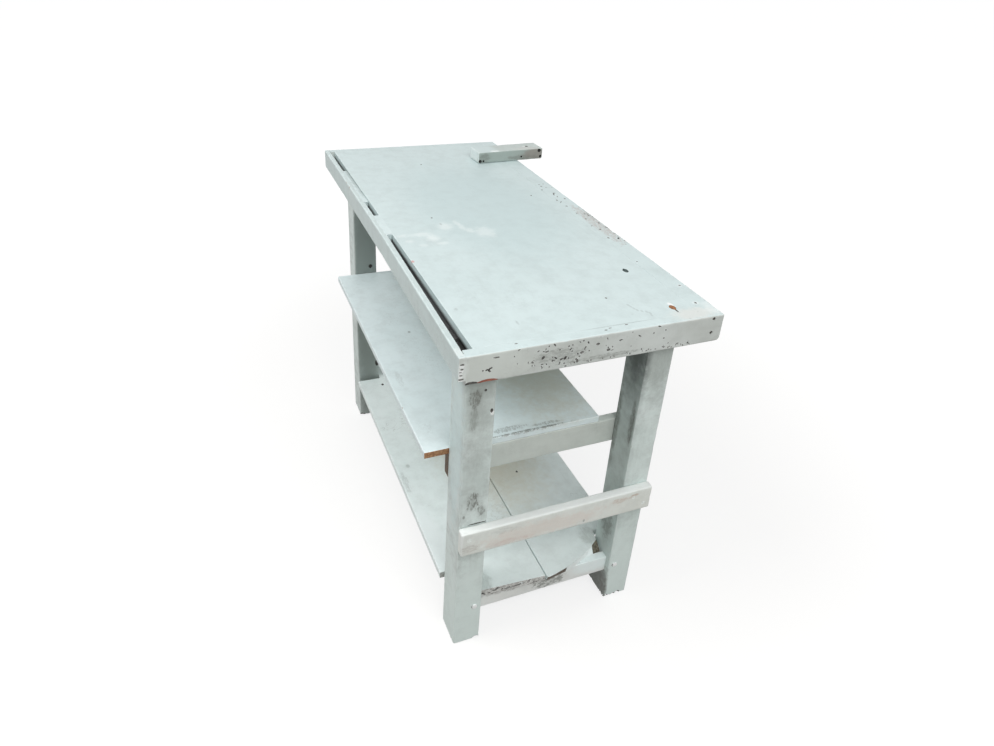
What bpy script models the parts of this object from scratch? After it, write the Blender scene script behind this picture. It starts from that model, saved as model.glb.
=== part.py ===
"""Old painted workbench with a tool slot, a planing stop and two shelves.

Units are metres and +Z is up, with the floor at Z = 0. +X runs from the near end to the
far end, where the planing stop is. +Y runs to the back, where the tool slot is.
"""

import math

import bmesh
import bpy
from mathutils import Matrix, Vector

# Clearance between pieces that touch, and how far a cutter stands out of the face it enters
FIT_GAP = 0.0003
CUT_OVERRUN = 0.004

# Worktop
TOP_LENGTH = 1.260
TOP_WIDTH = 0.566
TOP_HEIGHT = 0.800
SKIRT_HEIGHT = 0.053
PANEL_THICKNESS = 0.022
END_BOARD_THICKNESS = 0.024
END_BOARD_HEIGHT = 0.062
END_BOARD_CORNER_RADIUS = 0.012
FRONT_RAIL_THICKNESS = 0.048
BATTEN_THICKNESS = 0.014
BATTEN_SPRING = 0.0085
BEARER_WIDTH = 0.045
SLOT_RAIL_WIDTH = 0.022

# Tool slot along the back, measured from the near end of the top
SLOT_WIDTH = 0.012
LONG_SLOT_END = 0.564
FLUSH_SPACER_LENGTH = 0.125
MIDDLE_SLOT_LENGTH = 0.106
SUNK_SPACER_SHORT = 0.087
SUNK_SPACER_LONG = 0.175
SUNK_SPACER_DROP = 0.003

# Planing stop
STOP_LENGTH = 0.224
STOP_WIDTH = 0.066
STOP_HEIGHT = 0.035
STOP_OVERHANG = 0.084
STOP_FROM_FAR_END = 0.187
STOP_TURN = math.radians(3.0)
STOP_CORNER_RADIUS = 0.007

# Legs
LEG_WIDTH = 0.063
LEG_DEPTH = 0.076
FRONT_LEG_SETBACK = 0.090
FAR_LEG_SETBACK = 0.240
BACK_LEG_PAST_PANEL = 0.0097

# Rails and stretcher sawn from one size of batten
RAIL_THICKNESS = 0.022
RAIL_HEIGHT = 0.063
STRETCHER_TOP = 0.365
STRETCHER_OVERHANG = 0.0015

# Lower rails, tenoned and pegged into the legs
LOWER_RAIL_THICKNESS = 0.020
LOWER_RAIL_HEIGHT = 0.045
LOWER_RAIL_SETBACK = 0.016
TENON_LENGTH = 0.034
TENON_THICKNESS = 0.012
TENON_HEIGHT = 0.033
PEG_RADIUS = 0.004
PEG_LENGTH = 0.046
PEG_FROM_SHOULDER = 0.016
PEG_RISE = 0.008

# Middle shelf
MID_SHELF_HEIGHT = 0.517
MID_SHELF_THICKNESS = 0.016
MID_SHELF_WIDTH = 0.408
MID_SHELF_OVERHANG = 0.053

# Lower shelf
LOWER_SHELF_HEIGHT = 0.143
LOWER_BOARD_THICKNESS = 0.018
BACK_BOARD_WIDTH = 0.229
FRONT_BOARD_WIDTH = 0.224
BOARD_SEAM = 0.002
BACK_BOARD_OVERHANG = 0.006
BACK_BOARD_SKEW = 0.010
FRONT_BOARD_REACH = 0.008
NOTCH_SIDE_SLACK = 0.001
NOTCH_END_SLACK = 0.013

# Broken near corner of the front lower board: shares of the way across and along the break, and
# how far the lower edge of the torn face lies behind its upper edge
BREAK_LINE = ((0.00, 0.00, 0.007), (0.10, 0.03, 0.007), (0.33, 0.13, 0.004), (0.41, 0.18, 0.001),
              (0.58, 0.30, 0.0), (0.72, 0.42, -0.003), (0.85, 0.55, -0.011), (0.97, 0.70, -0.024))

# Nails and screws
NAIL_RADIUS = 0.0016
NAIL_HEAD_RADIUS = 0.0035
NAIL_HEAD_HEIGHT = 0.0012
NAIL_LENGTH = 0.055
NAIL_POINT = 0.005
END_NAIL_SPACING = 0.032
END_NAIL_DROP = 0.007
END_NAIL_INSET = 0.026
RAIL_NAIL_SPACING = 0.030
RAIL_NAIL_RISE = 0.024
SCREW_RADIUS = 0.0022
SCREW_HEAD_RADIUS = 0.0045
SCREW_HEAD_HEIGHT = 0.003
SCREW_LENGTH = 0.045
SCREW_POINT = 0.006
SCREW_SPACING = 0.048
SCREW_FROM_STOP_END = 0.024

# Rounding of worn edges, and facets of turned pieces
ARRIS_RADIUS = 0.0025
SHELF_ARRIS_RADIUS = 0.0015
ARRIS_SEGMENTS = 3
CORNER_SEGMENTS = 6
TURNED_SIDES = 12

# Finishes as colour, roughness and metallic value
TOP_PAINT = ((0.700, 0.780, 0.760), 0.45, 0.0)
FRAME_PAINT = ((0.560, 0.645, 0.620), 0.50, 0.0)
SHELF_PAINT = ((0.620, 0.710, 0.700), 0.50, 0.0)
WORN_PAINT = ((0.600, 0.570, 0.530), 0.60, 0.0)
PEG_WOOD = ((0.720, 0.700, 0.640), 0.60, 0.0)
STEEL = ((0.300, 0.290, 0.280), 0.40, 1.0)

# Outer faces of the worktop, about its own middle
NEAR_END = -TOP_LENGTH / 2
FAR_END = TOP_LENGTH / 2
FRONT_EDGE = -TOP_WIDTH / 2
BACK_EDGE = TOP_WIDTH / 2
SKIRT_BOTTOM = TOP_HEIGHT - SKIRT_HEIGHT
PANEL_BOTTOM = TOP_HEIGHT - PANEL_THICKNESS
PANEL_FRONT = FRONT_EDGE + FRONT_RAIL_THICKNESS
BATTEN_INSIDE = BACK_EDGE - BATTEN_THICKNESS
PANEL_BACK = BATTEN_INSIDE - SLOT_WIDTH

# Outer faces of the four legs
LEG_NEAR_FACE = NEAR_END + END_BOARD_THICKNESS + FIT_GAP
LEG_FAR_FACE = FAR_END - FAR_LEG_SETBACK
LEG_BACK_FACE = PANEL_BACK + BACK_LEG_PAST_PANEL
LEG_FRONT_FACE = FRONT_EDGE + FRONT_LEG_SETBACK

NEAR_LEG = (LEG_NEAR_FACE, LEG_NEAR_FACE + LEG_DEPTH)
FAR_LEG = (LEG_FAR_FACE - LEG_DEPTH, LEG_FAR_FACE)
BACK_LEG = (LEG_BACK_FACE - LEG_WIDTH, LEG_BACK_FACE)
FRONT_LEG = (LEG_FRONT_FACE, LEG_FRONT_FACE + LEG_WIDTH)

# Shelf levels, and the rails under them
MID_SHELF_BOTTOM = MID_SHELF_HEIGHT - MID_SHELF_THICKNESS
MID_RAIL_TOP = MID_SHELF_BOTTOM - FIT_GAP
LOWER_BOARD_BOTTOM = LOWER_SHELF_HEIGHT - LOWER_BOARD_THICKNESS
LOWER_RAIL_TOP = LOWER_BOARD_BOTTOM - FIT_GAP
MID_SHELF_BACK = LEG_BACK_FACE + MID_SHELF_OVERHANG

# Fasteners as head radius, head height, shank radius, length and length of the point
NAIL = (NAIL_HEAD_RADIUS, NAIL_HEAD_HEIGHT, NAIL_RADIUS, NAIL_LENGTH, NAIL_POINT)
SCREW = (SCREW_HEAD_RADIUS, SCREW_HEAD_HEIGHT, SCREW_RADIUS, SCREW_LENGTH, SCREW_POINT)
PEG = (PEG_RADIUS, 0.0, PEG_RADIUS, PEG_LENGTH, 0.0)

# Names of a box's low and high sides along X, Y and Z, and of the edges between them
SIDES = (("near", "far"), ("front", "back"), ("bottom", "top"))
UPRIGHT_ARRISES = ("near front", "near back", "far front", "far back")
CROSS_ARRISES = ("near top", "near bottom", "far top", "far bottom")
LENGTH_ARRISES = ("front top", "front bottom", "back top", "back bottom")

cutters = {}


def clear_scene():
    """Start from an empty scene."""
    for item in list(bpy.data.objects):
        bpy.data.objects.remove(item, do_unlink=True)


def add_root():
    """An empty under the middle of the whole object, which every piece hangs from."""
    root = bpy.data.objects.new("workbench", None)
    root.location.y = -(FRONT_EDGE - STOP_OVERHANG + MID_SHELF_BACK) / 2
    bpy.context.scene.collection.objects.link(root)


def add_finish(name, finish):
    """The piece's own material."""
    colour, roughness, metallic = finish
    material = bpy.data.materials.new(name + "_finish")
    material.use_nodes = True
    surface = material.node_tree.nodes["Principled BSDF"]
    surface.inputs["Base Color"].default_value = (*colour, 1.0)
    surface.inputs["Roughness"].default_value = roughness
    surface.inputs["Metallic"].default_value = metallic
    return material


def add_piece(name, bm, finish, location, rotation=(0.0, 0.0, 0.0)):
    """Turn a finished mesh into the named piece, hung from the root."""
    mesh = bpy.data.meshes.new(name)
    bmesh.ops.recalc_face_normals(bm, faces=bm.faces)
    bm.to_mesh(mesh)
    bm.free()
    mesh.materials.append(add_finish(name, finish))
    piece = bpy.data.objects.new(name, mesh)
    bpy.context.scene.collection.objects.link(piece)
    piece.parent = bpy.data.objects["workbench"]
    piece.location = location
    piece.rotation_euler = rotation


def side_name(face):
    """The name of the side that a face looks to."""
    axis = max(range(3), key=lambda place: abs(face.normal[place]))
    return SIDES[axis][face.normal[axis] > 0.0]


def add_block(bm, size):
    """A box of the given size about the middle of its mesh."""
    bmesh.ops.create_cube(bm, size=1.0, matrix=Matrix.Diagonal((*size, 1.0)))
    bm.normal_update()


def add_box(bm, x, y, z):
    """A box between three (low, high) ranges."""
    low = Vector((x[0], y[0], z[0]))
    high = Vector((x[1], y[1], z[1]))
    size = high - low
    matrix = Matrix.Translation((low + high) / 2) @ Matrix.Diagonal((*size, 1.0))
    bmesh.ops.create_cube(bm, size=1.0, matrix=matrix)


def round_edges(bm, names, radius, segments=ARRIS_SEGMENTS):
    """Round the box edges that lie between the named pairs of sides."""
    bm.normal_update()
    wanted = [set(name.split()) for name in names]
    edges = [edge for edge in bm.edges if {side_name(face) for face in edge.link_faces} in wanted]
    bmesh.ops.bevel(bm, geom=edges, offset=radius, segments=segments, profile=0.5, affect="EDGES")


def timber(name, x, y, z, finish, rounded=(), radius=ARRIS_RADIUS, corner=(), corner_radius=0.0):
    """A squared timber between three (low, high) ranges, with the named edges worn round."""
    bm = bmesh.new()
    add_block(bm, (x[1] - x[0], y[1] - y[0], z[1] - z[0]))
    if corner:
        round_edges(bm, corner, corner_radius, CORNER_SEGMENTS)
    if rounded:
        round_edges(bm, rounded, radius)
    add_piece(name, bm, finish, (sum(x) / 2, sum(y) / 2, sum(z) / 2))


def board(name, lower, upper, z, finish, rounded=()):
    """A flat board with the given (x, y) outlines at its lower and its upper face."""
    bm = bmesh.new()
    bottom = [bm.verts.new((*point, z[0])) for point in lower]
    top = [bm.verts.new((*point, z[1])) for point in upper]
    bm.faces.new(bottom)
    bm.faces.new(top)
    for place in range(len(bottom)):
        bm.faces.new((bottom[place - 1], bottom[place], top[place], top[place - 1]))
    if rounded:
        bmesh.ops.recalc_face_normals(bm, faces=bm.faces)
        round_edges(bm, rounded, ARRIS_RADIUS)
    add_piece(name, bm, finish, (0.0, 0.0, 0.0))


def add_turned(bm, profile, start, direction):
    """Revolve (radius, depth) points about an axis that starts at a point and runs inward."""
    made = bmesh.new()
    points = [made.verts.new((radius, 0.0, depth)) for radius, depth in profile]
    edges = [made.edges.new(pair) for pair in zip(points, points[1:])]
    bmesh.ops.spin(made, geom=points + edges, axis=(0.0, 0.0, 1.0), cent=(0.0, 0.0, 0.0),
                   angle=math.tau, steps=TURNED_SIDES, use_merge=True)
    bmesh.ops.remove_doubles(made, verts=made.verts, dist=FIT_GAP / 10)
    bmesh.ops.recalc_face_normals(made, faces=made.faces)
    matrix = Matrix.Translation(start) @ direction.to_track_quat("Z", "Y").to_matrix().to_4x4()
    made.transform(matrix)
    mesh = bpy.data.meshes.new("turned")
    made.to_mesh(mesh)
    made.free()
    bm.from_mesh(mesh)
    bpy.data.meshes.remove(mesh)


def cutter(target, kind):
    """The mesh that gathers one kind of cut, the holes or the mortises, out of one piece."""
    if (target, kind) not in cutters:
        cutters[target, kind] = bmesh.new()
    return cutters[target, kind]


def cut_pieces():
    """Cut the gathered holes and mortises out of their pieces."""
    for (target, kind), bm in cutters.items():
        mesh = bpy.data.meshes.new(f"{target}_{kind}")
        bm.to_mesh(mesh)
        bm.free()
        tool = bpy.data.objects.new(f"{target}_{kind}", mesh)
        bpy.context.scene.collection.objects.link(tool)
        tool.parent = bpy.data.objects["workbench"]
        tool.hide_render = True
        tool.display_type = "WIRE"
        cut = bpy.data.objects[target].modifiers.new(kind, "BOOLEAN")
        cut.operation = "DIFFERENCE"
        cut.solver = "EXACT"
        cut.object = tool


def fastener_profile(sizes, grow=0.0, overrun=0.0):
    """The (radius, depth) outline of a fastener, or of its hole when grown by a clearance."""
    head_radius, head_height, radius, length, point = sizes
    profile = [(0.0, -overrun), (head_radius + grow, -overrun)]
    if head_height:
        profile.append((head_radius + grow, head_height + grow))
        profile.append((radius + grow, head_height + grow))
    profile.append((radius + grow, length - point + grow))
    profile.append((0.0, length + grow))
    return profile


def fastener(name, finish, sizes, start, direction, holds):
    """A nail, screw or peg with its head flush at the start, and its hole in each piece it holds."""
    direction = Vector(direction)
    bm = bmesh.new()
    add_turned(bm, fastener_profile(sizes), Vector(), Vector((0.0, 0.0, 1.0)))
    for face in bm.faces:
        face.smooth = True
    add_piece(name, bm, finish, start, direction.to_track_quat("Z", "Y").to_euler())
    hole = fastener_profile(sizes, FIT_GAP, CUT_OVERRUN)
    for target in holds:
        add_turned(cutter(target, "holes"), hole, Vector(start), direction)


def add_worktop():
    """Flush panel between the end boards, with the front rail and the slot batten along it."""
    skirt = (SKIRT_BOTTOM, TOP_HEIGHT)
    inside = (NEAR_END + END_BOARD_THICKNESS + FIT_GAP, FAR_END - END_BOARD_THICKNESS - FIT_GAP)
    timber("top_panel", inside, (PANEL_FRONT + FIT_GAP, PANEL_BACK), (PANEL_BOTTOM, TOP_HEIGHT), TOP_PAINT)
    timber("front_rail", inside, (FRONT_EDGE, PANEL_FRONT), skirt, FRAME_PAINT,
           ("front bottom", "front top"))
    add_slot_batten(skirt)


def batten_inside(x):
    """Inner face of the batten, whose near end has sprung outward past the long slot."""
    share = max(0.0, 1.0 - (x - NEAR_END) / LONG_SLOT_END)
    return BATTEN_INSIDE + share * BATTEN_SPRING


def add_slot_batten(level):
    """A thin batten along the back, bent where the flush spacer holds it."""
    inner = [(x, batten_inside(x)) for x in (NEAR_END, NEAR_END + LONG_SLOT_END, FAR_END)]
    outer = [(x, y + BATTEN_THICKNESS) for x, y in reversed(inner)]
    board("slot_batten", inner + outer, inner + outer, level, FRAME_PAINT,
          ("back bottom", "back top", "near back", "far back", "near top", "far top"))


def add_end_boards():
    """Deeper boards across both ends, with the lower front corner rounded off."""
    upright = (TOP_HEIGHT - END_BOARD_HEIGHT, TOP_HEIGHT)
    near = (NEAR_END, NEAR_END + END_BOARD_THICKNESS)
    far = (FAR_END - END_BOARD_THICKNESS, FAR_END)
    for end, x in (("near", near), ("far", far)):
        across = (FRONT_EDGE, batten_inside(x[1]) - FIT_GAP)
        worn = (f"{end} bottom", f"{end} top", f"{end} front", "front top")
        timber(f"{end}_end_board", x, across, upright, FRAME_PAINT, worn,
               corner=("front bottom",), corner_radius=END_BOARD_CORNER_RADIUS)


def add_end_board_nails():
    """Two nails through each end board into the end grain of the front rail."""
    upper = TOP_HEIGHT - END_NAIL_DROP
    for end, x, inward in (("near", NEAR_END, 1.0), ("far", FAR_END, -1.0)):
        for level, height in (("upper", upper), ("lower", upper - END_NAIL_SPACING)):
            start = (x, FRONT_EDGE + END_NAIL_INSET, height)
            fastener(f"{end}_end_nail_{level}", STEEL, NAIL, start, (inward, 0.0, 0.0),
                     (end + "_end_board", "front_rail"))


def add_slot_spacers():
    """Blocks between the panel and the batten, with the open tool slots between them."""
    across = (PANEL_BACK + FIT_GAP, BATTEN_INSIDE - FIT_GAP)
    flush_start = NEAR_END + LONG_SLOT_END
    flush_end = flush_start + FLUSH_SPACER_LENGTH
    timber("slot_spacer_flush", (flush_start, flush_end), across, (PANEL_BOTTOM, TOP_HEIGHT), TOP_PAINT)
    sunk = (PANEL_BOTTOM, TOP_HEIGHT - SUNK_SPACER_DROP)
    short_start = flush_end + MIDDLE_SLOT_LENGTH
    short_end = short_start + SUNK_SPACER_SHORT
    timber("slot_spacer_sunk_short", (short_start, short_end), across, sunk, TOP_PAINT)
    long_start = short_end + FIT_GAP
    timber("slot_spacer_sunk_long", (long_start, long_start + SUNK_SPACER_LONG), across, sunk, TOP_PAINT)


def add_bearers():
    """Cross bearers against the inner faces of the legs, with a rail between them beside the slot."""
    across = (PANEL_FRONT + FIT_GAP, PANEL_BACK)
    upright = (SKIRT_BOTTOM, PANEL_BOTTOM - FIT_GAP)
    near = (NEAR_LEG[1] + FIT_GAP, NEAR_LEG[1] + FIT_GAP + BEARER_WIDTH)
    timber("near_bearer", near, across, upright, FRAME_PAINT)
    far = (FAR_LEG[0] - FIT_GAP - BEARER_WIDTH, FAR_LEG[0] - FIT_GAP)
    timber("far_bearer", far, across, upright, FRAME_PAINT)
    between = (near[1] + FIT_GAP, far[0] - FIT_GAP)
    timber("slot_rail", between, (PANEL_BACK - SLOT_RAIL_WIDTH, PANEL_BACK), upright, FRAME_PAINT)


def stop_centre():
    """Middle of the planing stop, which stands past the front edge by its overhang."""
    reach = (STOP_LENGTH / 2 - STOP_CORNER_RADIUS) * math.cos(STOP_TURN) + STOP_CORNER_RADIUS
    reach += (STOP_WIDTH / 2 - STOP_CORNER_RADIUS) * math.sin(STOP_TURN)
    across = FRONT_EDGE - STOP_OVERHANG + reach
    return Vector((FAR_END - STOP_FROM_FAR_END, across, TOP_HEIGHT + FIT_GAP + STOP_HEIGHT / 2))


def add_planing_stop():
    """A block set a little askew across the top, held by two screws from below."""
    centre = stop_centre()
    bm = bmesh.new()
    add_block(bm, (STOP_WIDTH, STOP_LENGTH, STOP_HEIGHT))
    round_edges(bm, ("near front", "far front"), STOP_CORNER_RADIUS, CORNER_SEGMENTS)
    bm.normal_update()
    rim = [edge for edge in bm.edges if "top" in {side_name(face) for face in edge.link_faces}]
    bmesh.ops.bevel(bm, geom=rim, offset=ARRIS_RADIUS, segments=ARRIS_SEGMENTS, profile=0.5, affect="EDGES")
    add_piece("planing_stop", bm, FRAME_PAINT, centre, (0.0, 0.0, STOP_TURN))
    turn = Matrix.Rotation(STOP_TURN, 3, "Z")
    for name, along in (("outer", SCREW_FROM_STOP_END), ("inner", SCREW_FROM_STOP_END + SCREW_SPACING)):
        place = centre + turn @ Vector((0.0, STOP_LENGTH / 2 - along, 0.0))
        place.z = PANEL_BOTTOM
        fastener(f"stop_screw_{name}", STEEL, SCREW, place, (0.0, 0.0, 1.0), ("top_panel", "planing_stop"))


def add_legs():
    """Four square legs that run up inside the skirt to the underside of the panel."""
    for end, x in (("near", NEAR_LEG), ("far", FAR_LEG)):
        for side, y in (("back", BACK_LEG), ("front", FRONT_LEG)):
            timber(f"leg_{end}_{side}", x, y, (0.0, PANEL_BOTTOM - FIT_GAP), FRAME_PAINT, UPRIGHT_ARRISES)


def add_tenon(bm, side):
    """Draw a shouldered tenon out of the front or the back end of a rail."""
    end = next(face for face in bm.faces if side_name(face) == side)
    outward = end.normal.copy()
    bmesh.ops.inset_individual(bm, faces=[end], thickness=ARRIS_RADIUS)
    for vert in end.verts:
        vert.co.x = math.copysign(TENON_THICKNESS / 2, vert.co.x)
        vert.co.z = math.copysign(TENON_HEIGHT / 2, vert.co.z)
    drawn = bmesh.ops.extrude_face_region(bm, geom=[end])["geom"]
    moved = [item for item in drawn if isinstance(item, bmesh.types.BMVert)]
    bmesh.ops.translate(bm, verts=moved, vec=outward * TENON_LENGTH)
    bmesh.ops.delete(bm, geom=[end], context="FACES_ONLY")


def add_lower_rail(end, x, outer_face, inward):
    """A rail with a tenon at each end, each pegged through the outer face of its leg."""
    name = "lower_rail_" + end
    between = (FRONT_LEG[1] + FIT_GAP, BACK_LEG[0] - FIT_GAP)
    upright = (LOWER_RAIL_TOP - LOWER_RAIL_HEIGHT, LOWER_RAIL_TOP)
    centre = Vector((sum(x) / 2, sum(between) / 2, sum(upright) / 2))
    bm = bmesh.new()
    add_block(bm, (LOWER_RAIL_THICKNESS, between[1] - between[0], LOWER_RAIL_HEIGHT))
    for side in ("front", "back"):
        add_tenon(bm, side)
    add_piece(name, bm, FRAME_PAINT, centre)
    mortise_x = (centre.x - TENON_THICKNESS / 2 - FIT_GAP, centre.x + TENON_THICKNESS / 2 + FIT_GAP)
    mortise_z = (centre.z - TENON_HEIGHT / 2 - FIT_GAP, centre.z + TENON_HEIGHT / 2 + FIT_GAP)
    for place, face, side in (("back", BACK_LEG[0], 1), ("front", FRONT_LEG[1], -1)):
        leg = f"leg_{end}_{place}"
        mouth = face - side * CUT_OVERRUN
        bottom = face + side * TENON_LENGTH
        add_box(cutter(leg, "mortises"), mortise_x, (min(mouth, bottom), max(mouth, bottom)), mortise_z)
        start = (outer_face, face + side * PEG_FROM_SHOULDER, centre.z + PEG_RISE)
        fastener(f"peg_{end}_{place}", PEG_WOOD, PEG, start, (inward, 0.0, 0.0), (leg, name))


def add_lower_rails():
    """Rails low between the legs of each end, set in from the outer faces."""
    near = LEG_NEAR_FACE + LOWER_RAIL_SETBACK
    add_lower_rail("near", (near, near + LOWER_RAIL_THICKNESS), LEG_NEAR_FACE, 1.0)
    far = LEG_FAR_FACE - LOWER_RAIL_SETBACK
    add_lower_rail("far", (far - LOWER_RAIL_THICKNESS, far), LEG_FAR_FACE, -1.0)


def add_rail_nails(rail, end, start_x, inward, middle):
    """Two staggered nails from the face of a rail into each leg of one end."""
    for side, y in (("back", BACK_LEG), ("front", FRONT_LEG)):
        for place, share in (("a", 0.5), ("b", -0.5)):
            start = (start_x, sum(y) / 2 + share * RAIL_NAIL_SPACING, middle + share * RAIL_NAIL_RISE)
            fastener(f"{rail}_nail_{side}_{place}", STEEL, NAIL, start, (inward, 0.0, 0.0),
                     (rail, f"leg_{end}_{side}"))


def add_mid_rails():
    """Rails nailed to the inner faces of the legs, which carry the middle shelf."""
    across = (FRONT_LEG[0], BACK_LEG[1])
    upright = (MID_RAIL_TOP - RAIL_HEIGHT, MID_RAIL_TOP)
    near = NEAR_LEG[1] + FIT_GAP
    timber("mid_rail_near", (near, near + RAIL_THICKNESS), across, upright, FRAME_PAINT, CROSS_ARRISES)
    add_rail_nails("mid_rail_near", "near", near + RAIL_THICKNESS, -1.0, sum(upright) / 2)
    far = FAR_LEG[0] - FIT_GAP
    timber("mid_rail_far", (far - RAIL_THICKNESS, far), across, upright, FRAME_PAINT, CROSS_ARRISES)
    add_rail_nails("mid_rail_far", "far", far - RAIL_THICKNESS, 1.0, sum(upright) / 2)


def add_stretcher():
    """A worn batten nailed across the outside of the near legs."""
    across = (FRONT_LEG[0] - STRETCHER_OVERHANG, BACK_LEG[1] + STRETCHER_OVERHANG)
    upright = (STRETCHER_TOP - RAIL_HEIGHT, STRETCHER_TOP)
    inner = LEG_NEAR_FACE - FIT_GAP
    timber("near_stretcher", (inner - RAIL_THICKNESS, inner), across, upright, WORN_PAINT, CROSS_ARRISES)
    add_rail_nails("near_stretcher", "near", inner - RAIL_THICKNESS, 1.0, sum(upright) / 2)


def add_mid_shelf():
    """One wide board on the mid rails, standing out past the back legs."""
    along = (NEAR_LEG[1] + FIT_GAP, FAR_LEG[0] - FIT_GAP)
    across = (MID_SHELF_BACK - MID_SHELF_WIDTH, MID_SHELF_BACK)
    timber("mid_shelf_board", along, across, (MID_SHELF_BOTTOM, MID_SHELF_HEIGHT), SHELF_PAINT,
           LENGTH_ARRISES, SHELF_ARRIS_RADIUS)


def add_lower_shelf():
    """Two boards on the lower rails, notched round the legs, the front one with a broken corner."""
    level = (LOWER_BOARD_BOTTOM, LOWER_SHELF_HEIGHT)
    near_notch = NEAR_LEG[1] + NOTCH_END_SLACK
    far_notch = FAR_LEG[0] - NOTCH_END_SLACK
    back = LEG_BACK_FACE + BACK_BOARD_OVERHANG
    seam = back - BACK_BOARD_WIDTH
    side = BACK_LEG[0] - NOTCH_SIDE_SLACK
    outline = [(LEG_NEAR_FACE, seam), (LEG_FAR_FACE, seam), (LEG_FAR_FACE, side), (far_notch, side),
               (far_notch, back), (near_notch, back), (near_notch, side),
               (LEG_NEAR_FACE + BACK_BOARD_SKEW, side)]
    board("lower_back_board", outline, outline, level, SHELF_PAINT)
    seam -= BOARD_SEAM
    front = seam - FRONT_BOARD_WIDTH
    side = FRONT_LEG[1] + NOTCH_SIDE_SLACK
    tip = LEG_NEAR_FACE - FRONT_BOARD_REACH
    sound = [(near_notch, side), (near_notch, front), (far_notch, front),
             (far_notch, side), (LEG_FAR_FACE, side), (LEG_FAR_FACE, seam)]
    torn_top = [(tip + along * (near_notch - tip), seam + across * (side - seam))
                for across, along, lean in BREAK_LINE]
    torn_bottom = [(px + lean, py) for (px, py), (across, along, lean) in zip(torn_top, BREAK_LINE)]
    board("lower_front_board", torn_bottom + sound, torn_top + sound, level, SHELF_PAINT)


clear_scene()
add_root()
add_worktop()
add_end_boards()
add_end_board_nails()
add_slot_spacers()
add_bearers()
add_planing_stop()
add_legs()
add_lower_rails()
add_mid_rails()
add_stretcher()
add_mid_shelf()
add_lower_shelf()
cut_pieces()
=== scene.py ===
import math

import bpy
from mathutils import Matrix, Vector


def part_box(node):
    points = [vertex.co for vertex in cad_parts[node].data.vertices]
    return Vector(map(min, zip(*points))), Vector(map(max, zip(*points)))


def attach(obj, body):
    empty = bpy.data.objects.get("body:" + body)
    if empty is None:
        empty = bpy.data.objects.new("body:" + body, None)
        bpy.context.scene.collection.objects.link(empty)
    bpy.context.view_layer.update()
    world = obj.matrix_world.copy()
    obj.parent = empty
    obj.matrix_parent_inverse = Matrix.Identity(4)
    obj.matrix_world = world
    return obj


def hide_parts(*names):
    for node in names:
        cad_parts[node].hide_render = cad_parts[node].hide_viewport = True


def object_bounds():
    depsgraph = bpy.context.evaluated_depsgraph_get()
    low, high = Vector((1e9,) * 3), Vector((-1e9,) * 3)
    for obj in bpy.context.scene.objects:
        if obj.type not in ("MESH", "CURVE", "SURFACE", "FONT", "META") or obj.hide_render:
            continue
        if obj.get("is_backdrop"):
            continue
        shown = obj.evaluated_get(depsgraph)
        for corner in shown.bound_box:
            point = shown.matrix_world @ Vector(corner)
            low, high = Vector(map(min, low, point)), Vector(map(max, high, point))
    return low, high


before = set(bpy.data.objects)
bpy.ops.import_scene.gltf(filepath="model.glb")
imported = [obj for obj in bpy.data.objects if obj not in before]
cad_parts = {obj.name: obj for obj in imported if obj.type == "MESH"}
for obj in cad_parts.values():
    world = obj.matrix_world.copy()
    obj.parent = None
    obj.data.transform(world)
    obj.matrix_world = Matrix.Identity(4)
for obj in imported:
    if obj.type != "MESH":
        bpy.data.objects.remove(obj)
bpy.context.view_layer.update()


# Legs
# Four posts of sawn softwood carry the bench. Their edges are worn round, their feet are
# chipped, and many coats of brushed paint are streaked with grime. Their paint is darkened
# with painted shade under the worktop and on the inner faces, and made paler low down with
# painted light. The rest is fixed to them.

OPAQUE = 1.0


class Output:
    """A node's output. Sums can be written with it, and each adds one node to its tree."""

    def __init__(self, socket):
        self.socket = socket
        self.tree = socket.id_data

    def sum(self, operation, *others, output=0):
        """The outcome of one sum, on vectors if this is one."""
        kind = "ShaderNodeVectorMath" if self.socket.type in ("VECTOR", "RGBA") else "ShaderNodeMath"
        return add_node(self.tree, kind, dict(enumerate((self, *others))), output, operation=operation)

    def __add__(self, other):
        return self.sum("ADD", other)

    def __sub__(self, other):
        return self.sum("SUBTRACT", other)

    def __rsub__(self, other):
        return add_node(self.tree, "ShaderNodeMath", {0: other, 1: self}, operation="SUBTRACT")

    def __mul__(self, other):
        return self.sum("MULTIPLY", other)

    def __truediv__(self, other):
        return self.sum("DIVIDE", other)

    def __abs__(self):
        return self.sum("ABSOLUTE")

    def length(self):
        """How long a vector is."""
        return self.sum("LENGTH", output="Value")

    def feed(self, socket):
        """Links this to a node's input."""
        self.tree.links.new(self.socket, socket)


def outputs(node):
    """A node's outputs by their names."""
    return {socket.name: Output(socket) for socket in node.outputs}


def add_node(tree, kind, inputs, output=0, **settings):
    """Adds a node and returns one output. Each input is a value, or an output to link to."""
    node = tree.nodes.new(kind)
    for name, value in settings.items():
        setattr(node, name, value)
    for key, value in inputs.items():
        socket = node.inputs[key]
        if isinstance(value, Output):
            value.feed(socket)
        elif socket.type == "RGBA":
            socket.default_value = (*value, OPAQUE)
        elif socket.type == "VECTOR" and isinstance(value, float):
            socket.default_value = (value, value, value)
        else:
            socket.default_value = value
    return Output(node.outputs[output])


def parts(value):
    """The three numbers of a vector."""
    return outputs(add_node(value.tree, "ShaderNodeSeparateXYZ", {0: value}).socket.node)


def noise(place, scale, seed, detail=4.0, roughness=0.6):
    """Cloudy noise between 0 and 1, with about scale clouds to the metre."""
    inputs = {"Vector": place, "W": seed, "Scale": scale, "Detail": detail, "Roughness": roughness}
    return add_node(place.tree, "ShaderNodeTexNoise", inputs, noise_dimensions="4D")


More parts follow.
